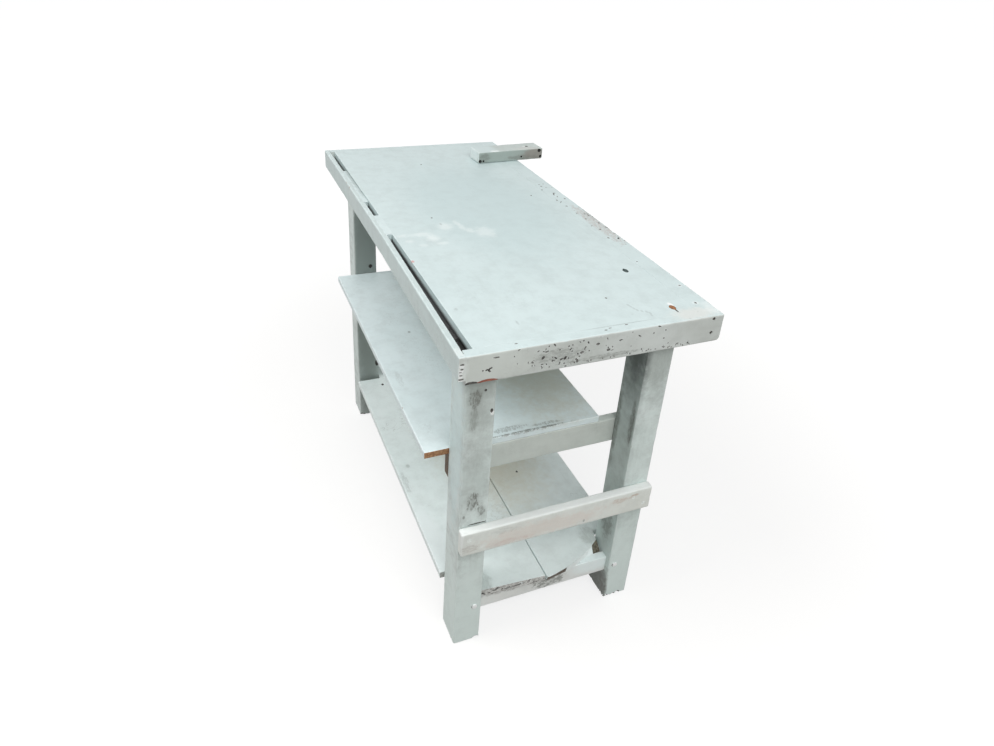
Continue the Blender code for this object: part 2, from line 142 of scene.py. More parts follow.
def stretch(value, start, end, low=0.0, high=1.0):
    """Eases from low to high while the value goes from start to end."""
    inputs = {0: value, 1: start, 2: end, 3: low, 4: high}
    return add_node(value.tree, "ShaderNodeMapRange", inputs, interpolation_type="SMOOTHSTEP")


def new_tree(name, kind, results, **inputs):
    """Starts a node group, its sockets listed by kind, and returns it with those sockets."""
    tree = bpy.data.node_groups.new(name, f"{kind}NodeTree")
    for in_out, sockets in (("INPUT", inputs), ("OUTPUT", results)):
        for socket_kind, labels in sockets.items():
            for label in labels.split(", "):
                tree.interface.new_socket(label, in_out=in_out, socket_type=f"NodeSocket{socket_kind}")
    return tree, outputs(tree.nodes.new("NodeGroupInput")), tree.nodes.new("NodeGroupOutput").inputs


def store(geometry, name, value, data_type="FLOAT", domain="POINT"):
    """Keeps a value on a mesh under a name."""
    inputs = {"Geometry": geometry, "Name": name, "Value": value}
    return add_node(geometry.tree, "GeometryNodeStoreNamedAttribute", inputs, data_type=data_type,
                    domain=domain)


def finish_shape(geometry, given, result, **chosen):
    """Ends a tree: its instances become real, and its faces, or those chosen, get the material."""
    tree = geometry.tree
    whole = add_node(tree, "GeometryNodeRealizeInstances", {0: geometry})
    inputs = {"Geometry": whole, "Material": given["Material"], **chosen}
    add_node(tree, "GeometryNodeSetMaterial", inputs).feed(result[0])
    return tree


SHAPE = {"Geometry": "Geometry"}
NONE = (0.0, 0.0, 0.0)
EDGE_LINES = 4
EDGE_ZONE = 2.5
LEAST_INSET = 0.00005


def make_worn_timber():
    """A timber between two corners, with close mesh lines along its edges. The edges are worn
    round and nicked, the faces slightly hollow, and each point knows how far its edge is. It may
    be turned askew, or its near part may have sprung sideways."""
    tree, given, result = new_tree(
        "worn_timber", "Geometry", SHAPE, Vector="Low, High", Material="Material",
        Float="Spacing, Edge Radius, Nicks, Hollows, Turn, Bend, Bend From, Seed")
    size = given["High"] - given["Low"]
    half = size * 0.5
    middle = (given["High"] + given["Low"]) * 0.5
    spans = (size / given["Spacing"]).sum("FLOOR").sum("MAXIMUM", 1.0)
    lines = spans + 2.0 * EDGE_LINES
    counts = parts(lines + 1.01)
    block = add_node(tree, "GeometryNodeMeshCube", {
        "Size": 2.0, "Vertices X": counts["X"], "Vertices Y": counts["Y"], "Vertices Z": counts["Z"]})

    place = add_node(tree, "GeometryNodeInputPosition", {})
    away = abs(place)
    kept = spans / lines
    zone = (half * 0.8).sum("MINIMUM", given["Edge Radius"] * EDGE_ZONE)

    def spread(start, end, reach):
        """Grows up to reach while the distance from the middle goes from start to end."""
        return add_node(tree, "ShaderNodeMapRange", {6: away, 7: start, 8: end, 9: 0.0, 10: reach}, 1,
                        data_type="FLOAT_VECTOR", clamp=True)

    square = place.sum("SIGN") * (spread(0.0, kept, half - zone) + spread(kept, 1.0, zone))
    gaps = parts(half - abs(square))
    nearer = gaps["X"].sum("MINIMUM", gaps["Y"])
    farther = gaps["X"].sum("MAXIMUM", gaps["Y"])
    marked = store(block, "edge", nearer.sum("MAXIMUM", farther.sum("MINIMUM", gaps["Z"])))

    own_place = square + middle
    nick = stretch(noise(own_place, 26.0, given["Seed"]), 0.54, 0.74)
    radius = given["Edge Radius"] * nick.sum("MULTIPLY_ADD", given["Nicks"], 1.0)
    core = half - radius
    held = square.sum("MAXIMUM", core * -1.0).sum("MINIMUM", core)
    outward = (square - held).sum("NORMALIZE")
    dip = noise(own_place, 6.0, given["Seed"], 2.0)
    dip = (dip * dip).sum("MULTIPLY_ADD", given["Hollows"], LEAST_INSET)
    worn_place = held + outward * radius - outward * dip
    turned = add_node(tree, "ShaderNodeVectorRotate", {"Vector": worn_place, "Angle": given["Turn"]},
                      rotation_type="Z_AXIS")
    standing = turned + middle
    sprung = add_node(tree, "ShaderNodeMapRange", {
        0: parts(standing)["X"], 1: given["Bend From"], 2: parts(given["Low"])["X"], 3: 0.0,
        4: given["Bend"]})
    aside = add_node(tree, "ShaderNodeCombineXYZ", {1: sprung})
    shaped = add_node(tree, "GeometryNodeSetPosition", {"Geometry": marked, "Position": standing + aside})
    smooth = add_node(tree, "GeometryNodeSetShadeSmooth", {"Geometry": shaped})
    return finish_shape(smooth, given, result)


def make_ragged_pits():
    """Cuts small ragged pits out of a piece, at random places between two corners."""
    tree, given, result = new_tree(
        "ragged_pits", "Geometry", SHAPE, Geometry="Geometry", Vector="Low, High, Least, Most, Turn",
        Int="Count, Seed", Float="Ragged", Material="Material")

    def scatter(low, high, offset):
        """A random vector between two others for each pit."""
        return add_node(tree, "FunctionNodeRandomValue", {0: low, 1: high, 8: given["Seed"] + offset},
                        data_type="FLOAT_VECTOR")

    points = add_node(tree, "GeometryNodePoints", {
        "Count": given["Count"], "Position": scatter(given["Low"], given["High"], 0.0)})
    pebble = add_node(tree, "GeometryNodeMeshIcoSphere", {"Radius": 1.0, "Subdivisions": 3})
    placed = add_node(tree, "GeometryNodeInstanceOnPoints", {
        "Points": points, "Instance": pebble,
        "Rotation": scatter(given["Turn"] * -1.0, given["Turn"], 1.0),
        "Scale": scatter(given["Least"], given["Most"], 2.0)})
    pebbles = add_node(tree, "GeometryNodeRealizeInstances", {0: placed})
    place = add_node(tree, "GeometryNodeInputPosition", {})
    normal = add_node(tree, "GeometryNodeInputNormal", {})
    lump = noise(place, 320.0, given["Seed"], 3.0) - 0.5
    ragged = add_node(tree, "GeometryNodeSetPosition", {
        "Geometry": pebbles, "Offset": normal * (lump * given["Ragged"])})
    marked = store(ragged, "pit", True, "BOOLEAN", "FACE")
    sound = add_node(tree, "GeometryNodeRemoveAttribute", {"Geometry": given["Geometry"], "Name": "pit"})
    cut = add_node(tree, "GeometryNodeMeshBoolean", {0: sound, 1: marked}, operation="DIFFERENCE",
                   solver="MANIFOLD")
    inside = add_node(tree, "GeometryNodeInputNamedAttribute", {"Name": "pit"}, data_type="BOOLEAN")
    return finish_shape(cut, given, result, Selection=inside)


worn_timber = make_worn_timber()
ragged_pits = make_ragged_pits()


def timber(low, high, material, spacing=0.012, radius=0.002, nicks=1.0, hollows=0.0006, turn=0.0,
           bend=0.0, bend_from=0.0, seed=0):
    """The step that makes one worn timber."""
    return worn_timber, {
        "Low": tuple(low), "High": tuple(high), "Spacing": spacing, "Edge Radius": radius, "Nicks": nicks,
        "Hollows": hollows, "Turn": turn, "Bend": bend, "Bend From": bend_from, "Seed": float(seed),
        "Material": material}


def pits(low, high, count, least, most, material, ragged=0.002, turn=(3.0, 3.0, 3.0), seed=0):
    """The step that cuts ragged pits into the piece made so far."""
    return ragged_pits, {
        "Low": tuple(low), "High": tuple(high), "Count": count, "Least": least, "Most": most,
        "Turn": turn, "Ragged": ragged, "Seed": seed, "Material": material}


def pit_at(place, size, material, ragged=0.001, seed=0, turn=NONE):
    """The step that cuts one pit of a given size at a place."""
    return pits(place, place, 1, size, size, material, ragged, turn, seed)


def new_object(name, data):
    """Puts a new object in the scene."""
    made = bpy.data.objects.new(name, data)
    bpy.context.scene.collection.objects.link(made)
    return made


SHARP_ANGLE = math.radians(42.0)


def make_piece(name, slot, nodes, *steps, points=()):
    """Runs the steps in turn and keeps the plain mesh, which stands for the given nodes."""
    start = bpy.data.meshes.new(name)
    start.from_pydata([tuple(point) for point in points], [], [])
    piece = new_object(name, start)
    for tree, values in steps:
        modifier = piece.modifiers.new(tree.name, "NODES")
        modifier.node_group = tree
        for socket in tree.interface.items_tree:
            if socket.in_out == "INPUT" and socket.name in values:
                modifier[socket.identifier] = values[socket.name]
    finished = piece.evaluated_get(bpy.context.evaluated_depsgraph_get())
    mesh = bpy.data.meshes.new_from_object(finished)
    piece.modifiers.clear()
    piece.data = mesh
    bpy.data.meshes.remove(start)
    used = sorted({face.material_index for face in mesh.polygons})
    finishes = [mesh.materials[index] for index in used]
    order = [used.index(face.material_index) for face in mesh.polygons]
    mesh.materials.clear()
    for finish in finishes:
        mesh.materials.append(finish)
    mesh.polygons.foreach_set("material_index", order)
    if "custom_normal" in mesh.attributes:
        mesh.attributes.remove(mesh.attributes["custom_normal"])
    mesh.set_sharp_from_angle(angle=SHARP_ANGLE)
    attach(piece, "root")
    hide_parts(*nodes)
    return piece


def make_worn(node, slot, material, *steps, **shape):
    """Makes the worn timber that stands for a node and fills its box."""
    low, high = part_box(node)
    return make_piece(f"worn_{node}", slot, [node], timber(low, high, material, **shape), *steps)


def mix(amount, first, second):
    """One colour painted over another by an amount."""
    return add_node(amount.tree, "ShaderNodeMix", {0: amount, 6: first, 7: second}, 2, data_type="RGBA")


def make_brushed_paint():
    """Old brushed paint: clouded coats under a film of dirt, brush marks and streaks along the
    grain, curdled patches, dark scuffs, and edges rubbed pale or chipped down to the wood."""
    tree, given, result = new_tree(
        "brushed_paint", "Shader", {"Color": "Colour", "Float": "Roughness, Height"},
        Vector="Coords, Grain", Color="Paint, Pale, Grime, Bare",
        Float="Edge, Mottle, Film, Streaks, Wrinkles, Scuffs, Rub, Chips")
    coords, grain = given["Coords"], given["Grain"]

    def patches(place, scale, seed, detail, start, end, roughness=0.6):
        """Patches of noise, nothing below start and full past end."""
        return stretch(noise(place, scale, seed, detail, roughness), start, end)

    def over(tone, mask, strength, colour):
        """The tone with another colour laid over it where the mask is."""
        return mix(mask * given[strength], tone, given[colour])

    cloud = patches(coords, 5.0, 1.0, 6.0, 0.34, 0.66)
    tone = over(given["Paint"], cloud, "Mottle", "Pale")
    brush = noise(grain, 110.0, 2.0)
    tone = mix(stretch(brush, 0.42, 0.75, 0.0, 0.2), tone, given["Pale"])
    blotch = patches(coords, 26.0, 13.0, 7.0, 0.4, 0.7, 0.68)
    tone = over(tone, blotch, "Film", "Grime")

    streak = patches(grain, 30.0, 4.0, 7.0, 0.48, 0.72, 0.7) * patches(coords, 4.0, 3.0, 3.0, 0.42, 0.64)
    tone = over(tone, streak, "Streaks", "Grime")

    contour = abs(noise(coords, 34.0, 8.0, 2.0) - 0.5)
    curdled = patches(coords, 6.0, 9.0, 1.0, 0.6, 0.66)
    wrinkle = stretch(contour, 0.014, 0.004) * curdled
    tone = over(tone, wrinkle, "Wrinkles", "Grime")

    rubbed = patches(coords, 8.0, 5.0, 3.0, 0.52, 0.68)
    scuff = patches(coords, 75.0, 6.0, 8.0, 0.56, 0.7, 0.72) * rubbed
    scuff = scuff.sum("MAXIMUM", patches(coords, 170.0, 14.0, 2.0, 0.72, 0.78))
    tone = over(tone, scuff, "Scuffs", "Grime")

    pale_reach = patches(coords, 22.0, 10.0, 4.0, 0.35, 0.7) * 0.0055
    tone = over(tone, stretch(pale_reach - given["Edge"], -0.001, 0.002), "Rub", "Pale")
    worn_through = patches(coords, 7.0, 11.0, 2.0, 0.54, 0.7)
    chip_reach = stretch(noise(coords, 130.0, 7.0, 6.0, 0.65), 0.52, 0.8, 0.0, 0.01) * worn_through
    chip = stretch(chip_reach - given["Edge"], 0.0, 0.0012) * given["Chips"]
    tone = mix(chip, tone, given["Bare"])

    rough = scuff.sum("MULTIPLY_ADD", 0.18, cloud.sum("MULTIPLY_ADD", 0.14, 0.42))
    height = cloud * 0.25
    for layer, share in ((brush, 0.35), (blotch, 0.5), (wrinkle, 0.4), (chip, -0.6), (scuff, -0.25)):
        height = layer.sum("MULTIPLY_ADD", share, height)
    for label, value in (("Colour", tone), ("Roughness", rough), ("Height", height)):
        value.feed(result[label])
    return tree


def make_ragged_mark():
    """A mask for one stain, patch or smear: a ragged oval, whole or broken up into fine specks."""
    tree, given, result = new_tree(
        "ragged_mark", "Shader", {"Float": "Mask"}, Vector="Coords, Grain, Place, Reach",
        Float="Ragged, Speckle, Soft")
    coords = given["Coords"]
    away = (coords - given["Place"]) / given["Reach"]
    wobble = noise(coords, 55.0, 12.0, 6.0, 0.65) - 0.5
    distance = wobble.sum("MULTIPLY_ADD", given["Ragged"], away.length())
    whole = stretch(distance, 1.0, 1.0 - given["Soft"])
    crossways = add_node(tree, "ShaderNodeMix", {0: 0.3, 4: given["Grain"], 5: coords}, 1,
                         data_type="VECTOR")
    fine = noise(crossways, 230.0, 15.0, 6.0, 0.75)
    specks = stretch(whole.sum("MULTIPLY_ADD", 0.3, fine), 0.7, 0.86)
    (whole + (specks - whole) * given["Speckle"]).feed(result["Mask"])
    return tree


brushed_paint = make_brushed_paint()
ragged_mark = make_ragged_mark()
ALONG_X = (0.06, 1.0, 1.0)
ALONG_Y = (1.0, 0.06, 1.0)
ALONG_Z = (1.0, 1.0, 0.06)
FRAME_PAINT = (0.62, 0.71, 0.68)
PALE_COAT = (0.76, 0.84, 0.82)
GRIME = (0.17, 0.18, 0.16)
BARE_WOOD = (0.3, 0.19, 0.12)
BUMP_STRENGTH = 0.6
PAINT_DEPTH = 0.0006
WOOD_DEPTH = 0.0008


def new_material(name):
    """A material with its shader and the object's own coordinates."""
    material = bpy.data.materials.new(name)
    material.use_nodes = True
    tree = material.node_tree
    return material, tree.nodes["Principled BSDF"], add_node(tree, "ShaderNodeTexCoord", {}, "Object")


def along_grain(coords, along):
    """The coordinates pressed together along the grain, which draws a pattern out that way."""
    return add_node(coords.tree, "ShaderNodeMapping", {"Vector": coords, "Scale": along})


def place_group(tree, group, **values):
    """Places a shader node group in a material and returns its outputs."""
    return outputs(add_node(tree, "ShaderNodeGroup", values, node_tree=group).socket.node)


def finish_surface(shader, colour, roughness, height, depth):
    """Links the colour, the roughness and a bump of the given depth to the shader."""
    inputs = {"Height": height, "Strength": BUMP_STRENGTH, "Distance": depth}
    bump = add_node(height.tree, "ShaderNodeBump", inputs)
    for label, value in (("Base Color", colour), ("Roughness", roughness), ("Normal", bump)):
        value.feed(shader.inputs[label])


def mark(place, reach, colour, strength, ragged=1.0, speckle=0.0, soft=0.6):
    """One stain, patch or smear: its middle, its reach, and how ragged, broken and soft it is."""
    values = {"Place": tuple(place), "Reach": reach, "Ragged": ragged, "Speckle": speckle, "Soft": soft}
    return colour, strength, values


def painted(name, along, marks=(), **values):
    """A painted finish with its grain along one direction, and its marks one over the other."""
    material, shader, coords = new_material(name)
    tree = material.node_tree
    grain = along_grain(coords, along)
    edge = add_node(tree, "ShaderNodeAttribute", {}, "Fac", attribute_name="edge")
    settings = {"Coords": coords, "Grain": grain, "Edge": edge, "Paint": FRAME_PAINT, "Pale": PALE_COAT,
                "Grime": GRIME, "Bare": BARE_WOOD, "Mottle": 0.5, "Film": 0.12, "Streaks": 0.25,
                "Wrinkles": 0.12, "Scuffs": 0.3, "Rub": 0.7, "Chips": 0.8, **values}
    paint = place_group(tree, brushed_paint, **settings)
    colour = paint["Colour"]
    for mark_colour, strength, mark_values in marks:
        mask = place_group(tree, ragged_mark, Coords=coords, Grain=grain, **mark_values)["Mask"]
        colour = mix(mask * strength, colour, mark_colour)
    finish_surface(shader, colour, paint["Roughness"], paint["Height"], PAINT_DEPTH)
    return material


def raw_wood(name, dark, light, along=(1.0, 1.0, 1.0)):
    """Unpainted wood: fine grain lines between two colours."""
    material, shader, coords = new_material(name)
    lines = noise(along_grain(coords, along), 240.0, 1.0, 5.0, 0.7)
    colour = mix(stretch(lines, 0.36, 0.66), dark, light)
    finish_surface(shader, colour, stretch(lines, 0.3, 0.7, 0.65, 0.9), lines, WOOD_DEPTH)
    return material


def corners(node):
    """A node's lowest and highest corners and its middle."""
    low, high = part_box(node)
    return low, high, (low + high) / 2


pit_grime = raw_wood("pit_grime", (0.03, 0.03, 0.028), (0.17, 0.165, 0.15))
pit_grey = raw_wood("pit_grey", (0.07, 0.07, 0.065), (0.32, 0.32, 0.3))
# Painted shade: near black, for the bottoms of open nail holes.
shaded_hole = raw_wood("shaded_hole", (0.005, 0.005, 0.005), (0.03, 0.029, 0.026))
near_back_low, near_back_high, near_back_middle = corners("leg_near_back")
near_front_low, near_front_high, near_front_middle = corners("leg_near_front")
far_back_low, far_back_high, far_back_middle = corners("leg_far_back")
back_leg_back = (near_back_middle.x, near_back_high.y)
front_leg_near = (near_front_low.x, near_front_middle.y)
front_leg_inner = (near_front_middle.x, near_front_high.y)


def on_near_leg(from_back, height):
    """A place on the near face of the back leg at the near end."""
    return Vector((near_back_low.x, near_back_high.y - from_back, height))


def on_far_leg(from_back, height):
    """A place on the near face of the back leg at the far end."""
    return Vector((far_back_low.x, far_back_high.y - from_back, height))


DIRT_AND_SHADE = (0.36, 0.4, 0.375)
SHADE = (0.29, 0.335, 0.315)
INNER_TOP_SHADE = (0.09, 0.1, 0.095)
LEG_PAINTED_LIGHT = (0.76, 0.87, 0.84)
BACK_SKYLIGHT_TINT = (0.68, 0.84, 0.85)
WHITE_SPOT = (0.9, 0.93, 0.92)
SLOT_SHADE = (0.01, 0.009, 0.008)
leg_paint = painted("leg_paint", ALONG_Z, marks=[
    # Painted light: both near legs are made paler near the floor.
    mark(on_near_leg(0.031, 0.06), (0.2, 0.08, 0.24), LEG_PAINTED_LIGHT, 0.75, 0.5),
    mark((*front_leg_near, 0.06), (0.2, 0.08, 0.24), LEG_PAINTED_LIGHT, 0.75, 0.5),
    # Dirt and painted shade: the back leg's near face darkens under the worktop, with dirty streaks lower
    # down.
    mark(on_near_leg(0.031, 0.75), (0.04, 0.06, 0.09), DIRT_AND_SHADE, 0.85, 0.8, 0.1),
    mark(on_near_leg(0.031, 0.67), (0.03, 0.06, 0.08), DIRT_AND_SHADE, 0.35, 1.0, 0.1),
    mark(on_near_leg(0.03, 0.6), (0.03, 0.04, 0.18), DIRT_AND_SHADE, 0.25, 1.2, 0.4),
    mark(on_near_leg(0.025, 0.485), (0.03, 0.06, 0.12), DIRT_AND_SHADE, 0.25, 1.4, 0.2),
    mark(on_near_leg(0.021, 0.687), (0.02, 0.022, 0.03), GRIME, 0.9, 0.9, 0.7),
    mark(on_near_leg(0.02, 0.64), (0.02, 0.014, 0.045), GRIME, 0.5, 0.9, 0.6),
    mark(on_near_leg(0.029, 0.429), (0.02, 0.022, 0.04), GRIME, 0.9, 0.9, 0.75),
    mark(on_near_leg(0.047, 0.402), (0.02, 0.016, 0.022), GRIME, 0.7, 0.9, 0.8),
    mark(on_near_leg(0.01, 0.391), (0.01, 0.004, 0.006), GRIME, 0.7, 0.4),
    mark(on_near_leg(0.058, 0.647), (0.012, 0.006, 0.007), WHITE_SPOT, 0.9, 0.4),
    # Painted light: the back leg's back face is tinted paler and bluer, as if lit by a pale sky.
    mark((*back_leg_back, 0.56), (0.05, 0.01, 0.3), BACK_SKYLIGHT_TINT, 0.6, 1.4, 0.2),
    # Painted shade: the leg's top, seen down the tool slot, is near black.
    mark((*back_leg_back, near_back_high.z), (0.1, 0.04, 0.006), SLOT_SHADE, 1.0, 0.2),
    # The front leg's near face: dirt and painted shade at its top, painted light in its middle.
    mark((*front_leg_near, 0.74), (0.03, 0.06, 0.18), DIRT_AND_SHADE, 0.8, 1.0, 0.15),
    mark((*front_leg_near, 0.45), (0.03, 0.06, 0.16), LEG_PAINTED_LIGHT, 0.4, 1.4, 0.2),
    # Painted shade: the front leg's inner face is darkened, near black at its top under the worktop.
    mark((*front_leg_inner, 0.45), (0.06, 0.02, 0.55), SHADE, 0.32, 0.4),
    mark((*front_leg_inner, 0.72), (0.08, 0.02, 0.2), INNER_TOP_SHADE, 0.97, 0.6, soft=0.9),
    mark((near_front_low.x + 0.013, near_front_high.y, 0.53), (0.013, 0.02, 0.08), GRIME, 0.9, 1.2, 0.5),
    mark((near_front_high.x - 0.006, near_front_high.y, 0.5), (0.016, 0.02, 0.16), GRIME, 0.8, 1.4, 0.4),
    mark((*front_leg_inner, 0.22), (0.035, 0.02, 0.08), GRIME, 0.7, 1.4, 0.6),
    # Painted shadow at the foot of the front leg's inner face.
    mark((*front_leg_inner, 0.0), (0.08, 0.01, 0.13), GRIME, 1.0, 1.0, 0.1),
    # Painted shade: the far back leg's near face, under the shelf and the worktop.
    mark((far_back_low.x, far_back_middle.y, 0.45), (0.02, 0.06, 0.6), SHADE, 0.95, 0.3),
], Paint=(0.65, 0.75, 0.72), Mottle=1.0, Film=0.34, Streaks=0.4, Scuffs=0.45)

FOOT_CHIP_LEAST = (0.003, 0.003, 0.002)
FOOT_CHIP_MOST = (0.008, 0.008, 0.009)
FOOT_CHIP_RISE = 0.002
PEG_HOLE = (0.002, 0.0061, 0.0061)
PEG_HOLE_WORN = Vector((0.0, 0.0012, -0.0006))
leg_holes = {
    "leg_near_back": [
        pit_at(on_near_leg(0.041, 0.703), (0.004, 0.0026, 0.003), pit_grime, seed=1),
        pit_at(on_near_leg(0.056, 0.653), (0.003, 0.003, 0.005), pit_grime, seed=2),
        pit_at(on_near_leg(0.041, 0.3664), (0.004, 0.022, 0.0016), pit_grime, seed=6)],
    "leg_far_back": [
        pit_at(on_far_leg(0.045, 0.538), (0.006, 0.0055, 0.006), pit_grime, seed=3),
        pit_at(on_far_leg(0.058, 0.195), (0.005, 0.006, 0.012), pit_grime, seed=4)],
}
foot_chips = {"leg_near_back": 1, "leg_near_front": 5, "leg_far_back": 6, "leg_far_front": 4}
for seed, (node, chips) in enumerate(foot_chips.items()):
    low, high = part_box(node)
    peg_middle = corners(node.replace("leg", "peg"))[2]
    peg_hole = Vector((low.x if "near" in node else high.x, peg_middle.y, peg_middle.z)) + PEG_HOLE_WORN
    foot_edges = [((low.x, low.y, 0.0), (low.x, high.y, FOOT_CHIP_RISE), 10 + seed),
                  ((low.x, high.y, 0.0), (high.x, high.y, FOOT_CHIP_RISE), 20 + seed)]
    make_worn(node, "frame_paint", leg_paint,
              *[pits(start, end, chips, FOOT_CHIP_LEAST, FOOT_CHIP_MOST, pit_grey, seed=chip_seed)
                for start, end, chip_seed in foot_edges],
              pit_at(peg_hole, PEG_HOLE, pit_grime, seed=5 + seed),
              *leg_holes.get(node, []), radius=0.0024, nicks=1.2, seed=seed)


# Lower rails and their pegs
# A narrow rail joins the two legs of each end near the floor. It is tenoned into them, and a
# whittled peg driven through each leg locks the tenon; the peg ends are painted over.

low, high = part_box("lower_rail_near")
RAIL_GREY = (0.46, 0.46, 0.44)
RAIL_HIGHLIGHT = (0.9, 1.0, 1.0)
rail_paint = painted("rail_paint", ALONG_Y, marks=[
    # Painted highlight: the rail is paler and bluer towards the front leg, brightest along its top edge.
    mark((low.x, -0.075, high.z - 0.008), (0.03, 0.09, 0.04), RAIL_HIGHLIGHT, 0.9, 0.5),
    mark((low.x, 0.135, high.z), (0.008, 0.12, 0.02), RAIL_GREY, 0.6, 1.6, 0.1, 0.3),
    mark((low.x, 0.135, high.z), (0.008, 0.12, 0.024), GRIME, 0.9, 1.2, 0.9),
    mark((low.x, 0.05, low.z + 0.02), (0.006, 0.07, 0.03), GRIME, 0.8, 1.2, 0.9),
], Paint=(0.81, 0.83, 0.8), Pale=(0.9, 0.93, 0.92), Streaks=0.2, Rub=1.0)
for seed, end in enumerate(("near", "far")):
    make_worn(f"lower_rail_{end}", "frame_paint", rail_paint, radius=0.0015, seed=30 + seed)


def make_driven_ends():
    """The ends of driven pegs or nails: one stub at each point, its outer end domed and uneven."""
    tree, given, result = new_tree(
        "driven_ends", "Geometry", SHAPE, Geometry="Geometry", Float="Radius, Length, Dome, Wobble, Seed",
        Int="Facets", Vector="Turn", Material="Material")
    stub = add_node(tree, "GeometryNodeMeshCylinder", {
        "Vertices": given["Facets"], "Side Segments": 3, "Fill Segments": 3, "Radius": given["Radius"],
        "Depth": given["Length"]})
    place = add_node(tree, "GeometryNodeInputPosition", {})
    across = parts(place)
    flat = add_node(tree, "ShaderNodeCombineXYZ", {0: across["X"], 1: across["Y"]})
    reach = flat.length() / given["Radius"]
    rise = (1.0 - reach * reach) * given["Dome"] * across["Z"].sum("GREATER_THAN", 0.0)
    rise = rise - given["Length"] * 0.5
    domed = add_node(tree, "GeometryNodeSetPosition", {
        "Geometry": stub, "Offset": add_node(tree, "ShaderNodeCombineXYZ", {2: rise})})
    stubs = add_node(tree, "GeometryNodeInstanceOnPoints", {
        "Points": given["Geometry"], "Instance": domed, "Rotation": given["Turn"]})
    apart = add_node(tree, "GeometryNodeRealizeInstances", {0: stubs})
    shake = add_node(tree, "ShaderNodeTexNoise", {"Vector": place, "W": given["Seed"], "Scale": 180.0},
                     "Color", noise_dimensions="4D")
    uneven = add_node(tree, "GeometryNodeSetPosition", {
        "Geometry": apart, "Offset": (shake - 0.5) * given["Wobble"]})
    smooth = add_node(tree, "GeometryNodeSetShadeSmooth", {"Geometry": uneven})
    return finish_shape(smooth, given, result)


driven_ends = make_driven_ends()


def driven(sizes, faces_near, material):
    """The step that makes the peg or nail ends at a piece's points, facing one end of the bench."""
    turn = (0.0, math.radians(-90.0 if faces_near else 90.0), 0.0)
    return driven_ends, {**sizes, "Turn": turn, "Material": material}


def outer_end(node, faces_near, proud):
    """Where the outer end of a peg or nail lies, standing proud of its node by a little."""
    low, high, middle = corners(node)
    return Vector((low.x - proud if faces_near else high.x + proud, middle.y, middle.z))


PEG = {"Radius": 0.006, "Length": 0.03, "Facets": 11, "Dome": 0.0012, "Wobble": 0.0012, "Seed": 0.0}
PEG_PROUD = 0.0022
peg_paint = painted("peg_paint", ALONG_X, Paint=(0.95, 0.97, 0.97), Pale=(0.97, 0.98, 0.98), Mottle=0.2,
                    Rub=0.0, Chips=0.0, Streaks=0.1)
for end, faces_near in (("near", True), ("far", False)):
    nodes = [f"peg_{end}_{row}" for row in ("back", "front")]
    make_piece(f"whittled_pegs_{end}", "peg_wood", nodes, driven(PEG, faces_near, peg_paint),
               points=[outer_end(node, faces_near, PEG_PROUD) for node in nodes])


# Middle rails and their nails
# A flat rail is nailed across the inner faces of the legs at each end, to carry the shelf. The
# nails are punched in and painted over, and the back end of each rail was left unpainted.

def repaint(piece, material, chosen):
    """Gives the faces that the test picks another finish."""
    piece.data.materials.append(material)
    index = len(piece.data.materials) - 1
    for face in piece.data.polygons:
        if chosen(face):
            face.material_index = index


NAIL = {"Radius": 0.0033, "Length": 0.006, "Facets": 12, "Dome": 0.0003, "Wobble": 0.0004, "Seed": 0.0}
NAIL_PROUD = -0.0003
NAIL_HOLE = (0.0008, 0.0042, 0.0042)


def make_nail_heads(node, nails, faces_near, proud, material):
    """Makes the heads of the nails that go through a piece."""
    make_piece(f"nail_heads_{node}", "steel", nails, driven(NAIL, faces_near, material),
               points=[outer_end(nail, faces_near, proud) for nail in nails])


def make_nailed(node, slot, faces_near, material, **shape):
    """Makes a rail that is nailed to both legs of its end, with its four nails painted over."""
    nails = [f"{node}_nail_{row}_{letter}" for row in ("back", "front") for letter in "ab"]
    holes = [pit_at(outer_end(nail, faces_near, NAIL_PROUD), NAIL_HOLE, material, 0.0004)
             for nail in nails]
    rail = make_worn(node, slot, material, *holes, **shape)
    make_nail_heads(node, nails, faces_near, NAIL_PROUD, material)
    return rail


mid_rail_paint = painted("mid_rail_paint", ALONG_Y, Paint=(0.6, 0.645, 0.605), Pale=(0.68, 0.73, 0.69),
                         Mottle=0.7, Streaks=0.2)
raw_rail_end = raw_wood("raw_rail_end", (0.085, 0.06, 0.045), (0.3, 0.22, 0.16), (1.0, 1.0, 0.3))
for seed, (end, faces_near) in enumerate((("near", False), ("far", True))):
    rail = make_nailed(f"mid_rail_{end}", "frame_paint", faces_near, mid_rail_paint, radius=0.0018,
                       nicks=1.4, seed=40 + seed)
    back_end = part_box(f"mid_rail_{end}")[1].y - 0.001
    repaint(rail, raw_rail_end, lambda face: face.normal.y > 0.7 and face.center.y > back_end)


# Near stretcher
# A second flat rail is nailed across the outer faces of the near legs. Its upper edge is worn
# and carries a painted highlight, and its face has yellowed and is smeared with rust.

stretcher_low, stretcher_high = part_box("near_stretcher")


def on_stretcher(from_back, from_bottom):
    """A place on the stretcher's outer face."""
    return Vector((stretcher_low.x, stretcher_high.y - from_back, stretcher_low.z + from_bottom))


